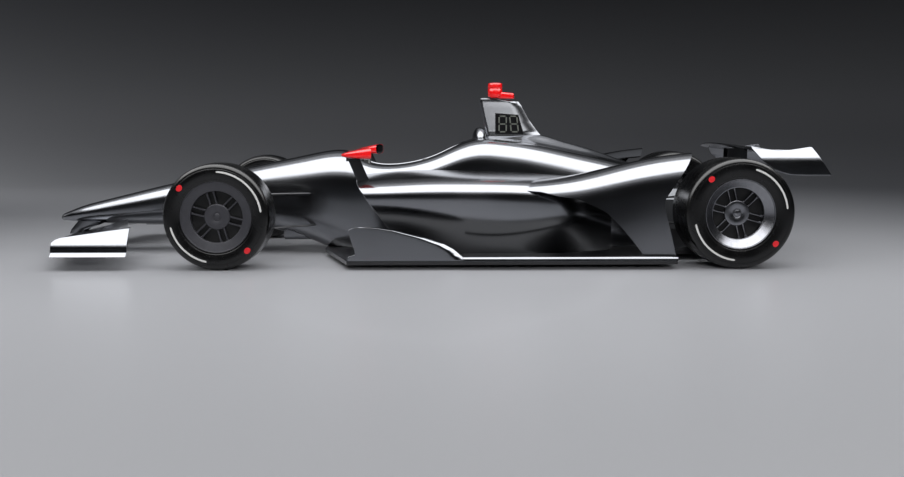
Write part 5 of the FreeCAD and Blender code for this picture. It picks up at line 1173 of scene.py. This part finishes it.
# Its path is half a sine wave across the back, and then a straight arm along each side
pad_low, pad_high = (np.array(c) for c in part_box("headrest"))
pad_half_y, pad_back, pad_depth, pad_arm, arm_from = 0.192, 0.034, 0.135, 0.145, 0.42
pad_half_wide, pad_half_tall = 0.028, 0.033
seam_at, seam_deep, seam_wide = 0.45, 0.10, 0.012
pad_turn = np.linspace(-1, 1, 90)
off = np.abs(pad_turn)
bent = pad_turn / arm_from * math.pi / 2
pad_y = np.where(off > arm_from, np.sign(pad_turn) * pad_half_y, pad_half_y * np.sin(bent))
arm_x = pad_depth + (off - arm_from) / (1 - arm_from) * pad_arm
pad_x = pad_low[0] + pad_back + np.where(off > arm_from, arm_x, pad_depth * (1 - np.cos(bent)))
path = np.stack([np.gradient(pad_x), np.gradient(pad_y)])
path_x, path_y = path / np.hypot(*path)
seams = 1 - seam_deep * (np.exp(-((off - seam_at) / seam_wide) ** 2)
                         + np.exp(-(pad_turn / seam_wide) ** 2))
taper = ((1 - off ** 14) ** 0.5 * seams)[:, None]
pillow_y, pillow_z = rounded_ring(32, 2.6)
pad_wide = pad_half_wide * taper * pillow_y
pad = np.stack([pad_x[:, None] - path_y[:, None] * pad_wide,
                pad_y[:, None] + path_x[:, None] * pad_wide,
                (pad_low[2] + pad_high[2]) / 2 + pad_half_tall * taper * pillow_z], axis=-1)
headrest_pad = new_piece("headrest_pad", [tube(pad)], pad_cover, "chassis",
                         ["headrest"])

# Running gear and floor
# What holds the wheels and carries the body: carbon legs and floor, cast and turned metal parts,
# and dark discs. These are the model's own solids in the finish of each.

# Sand cast magnesium, bare: dull grey metal, with a grain of 4 mm drawn coarser than the real one
# so that it shows. Carbon discs, ground: dark, nearly matt, mottled over 8 mm. An aluminium
# casting, painted: half gloss and dark, with a grain of 5 mm. Brushed suede: soft, black, dull
slot_finish = {"bodywork": mirror_coat, "carbon": carbon, "tyre": rubber, "red": red_lacquer,
               "mirror_glass": dark_glass, "display": panel_face, "wheel_dark": forged_black,
               "wheel_bright": forged_bright, "padding": pad_cover}
for slot, name, dark, light, scale, strength, settings in (
        ("alloy", "cast_magnesium", "56585b", "77797d", 260.0, 0.12,
         {"Metallic": 1.0, "Roughness": 0.45}),
        ("brake", "carbon_brake_disc", "2a2a2b", "3d3d3f", 120.0, 0.08,
         {"Metallic": 0.3, "Roughness": 0.5}),
        ("engine", "engine_casting", "1d1e20", "2e2f31", 220.0, 0.15,
         {"Metallic": 0.5, "Roughness": 0.5}),
        ("grip", "grip_suede", "141415", "232325", 600.0, 0.3,
         {"Roughness": 0.85, "Sheen_Weight": 0.3})):
    slot_finish[slot], tree, place = material(name, **settings)
    grit = add(tree, "ShaderNodeTexNoise", {"Vector": place, "Scale": scale, "Detail": 3.0})
    surface(slot_finish[slot], grit.outputs[0], dark, light,
            bump=(grit.outputs[0], strength, 0.0006))
for entry in frame["record"]["subparts"]:
    part = frame["nodes"][entry["node"]]
    part.data.materials.clear()
    part.data.materials.append(slot_finish[entry["material_slot"]])
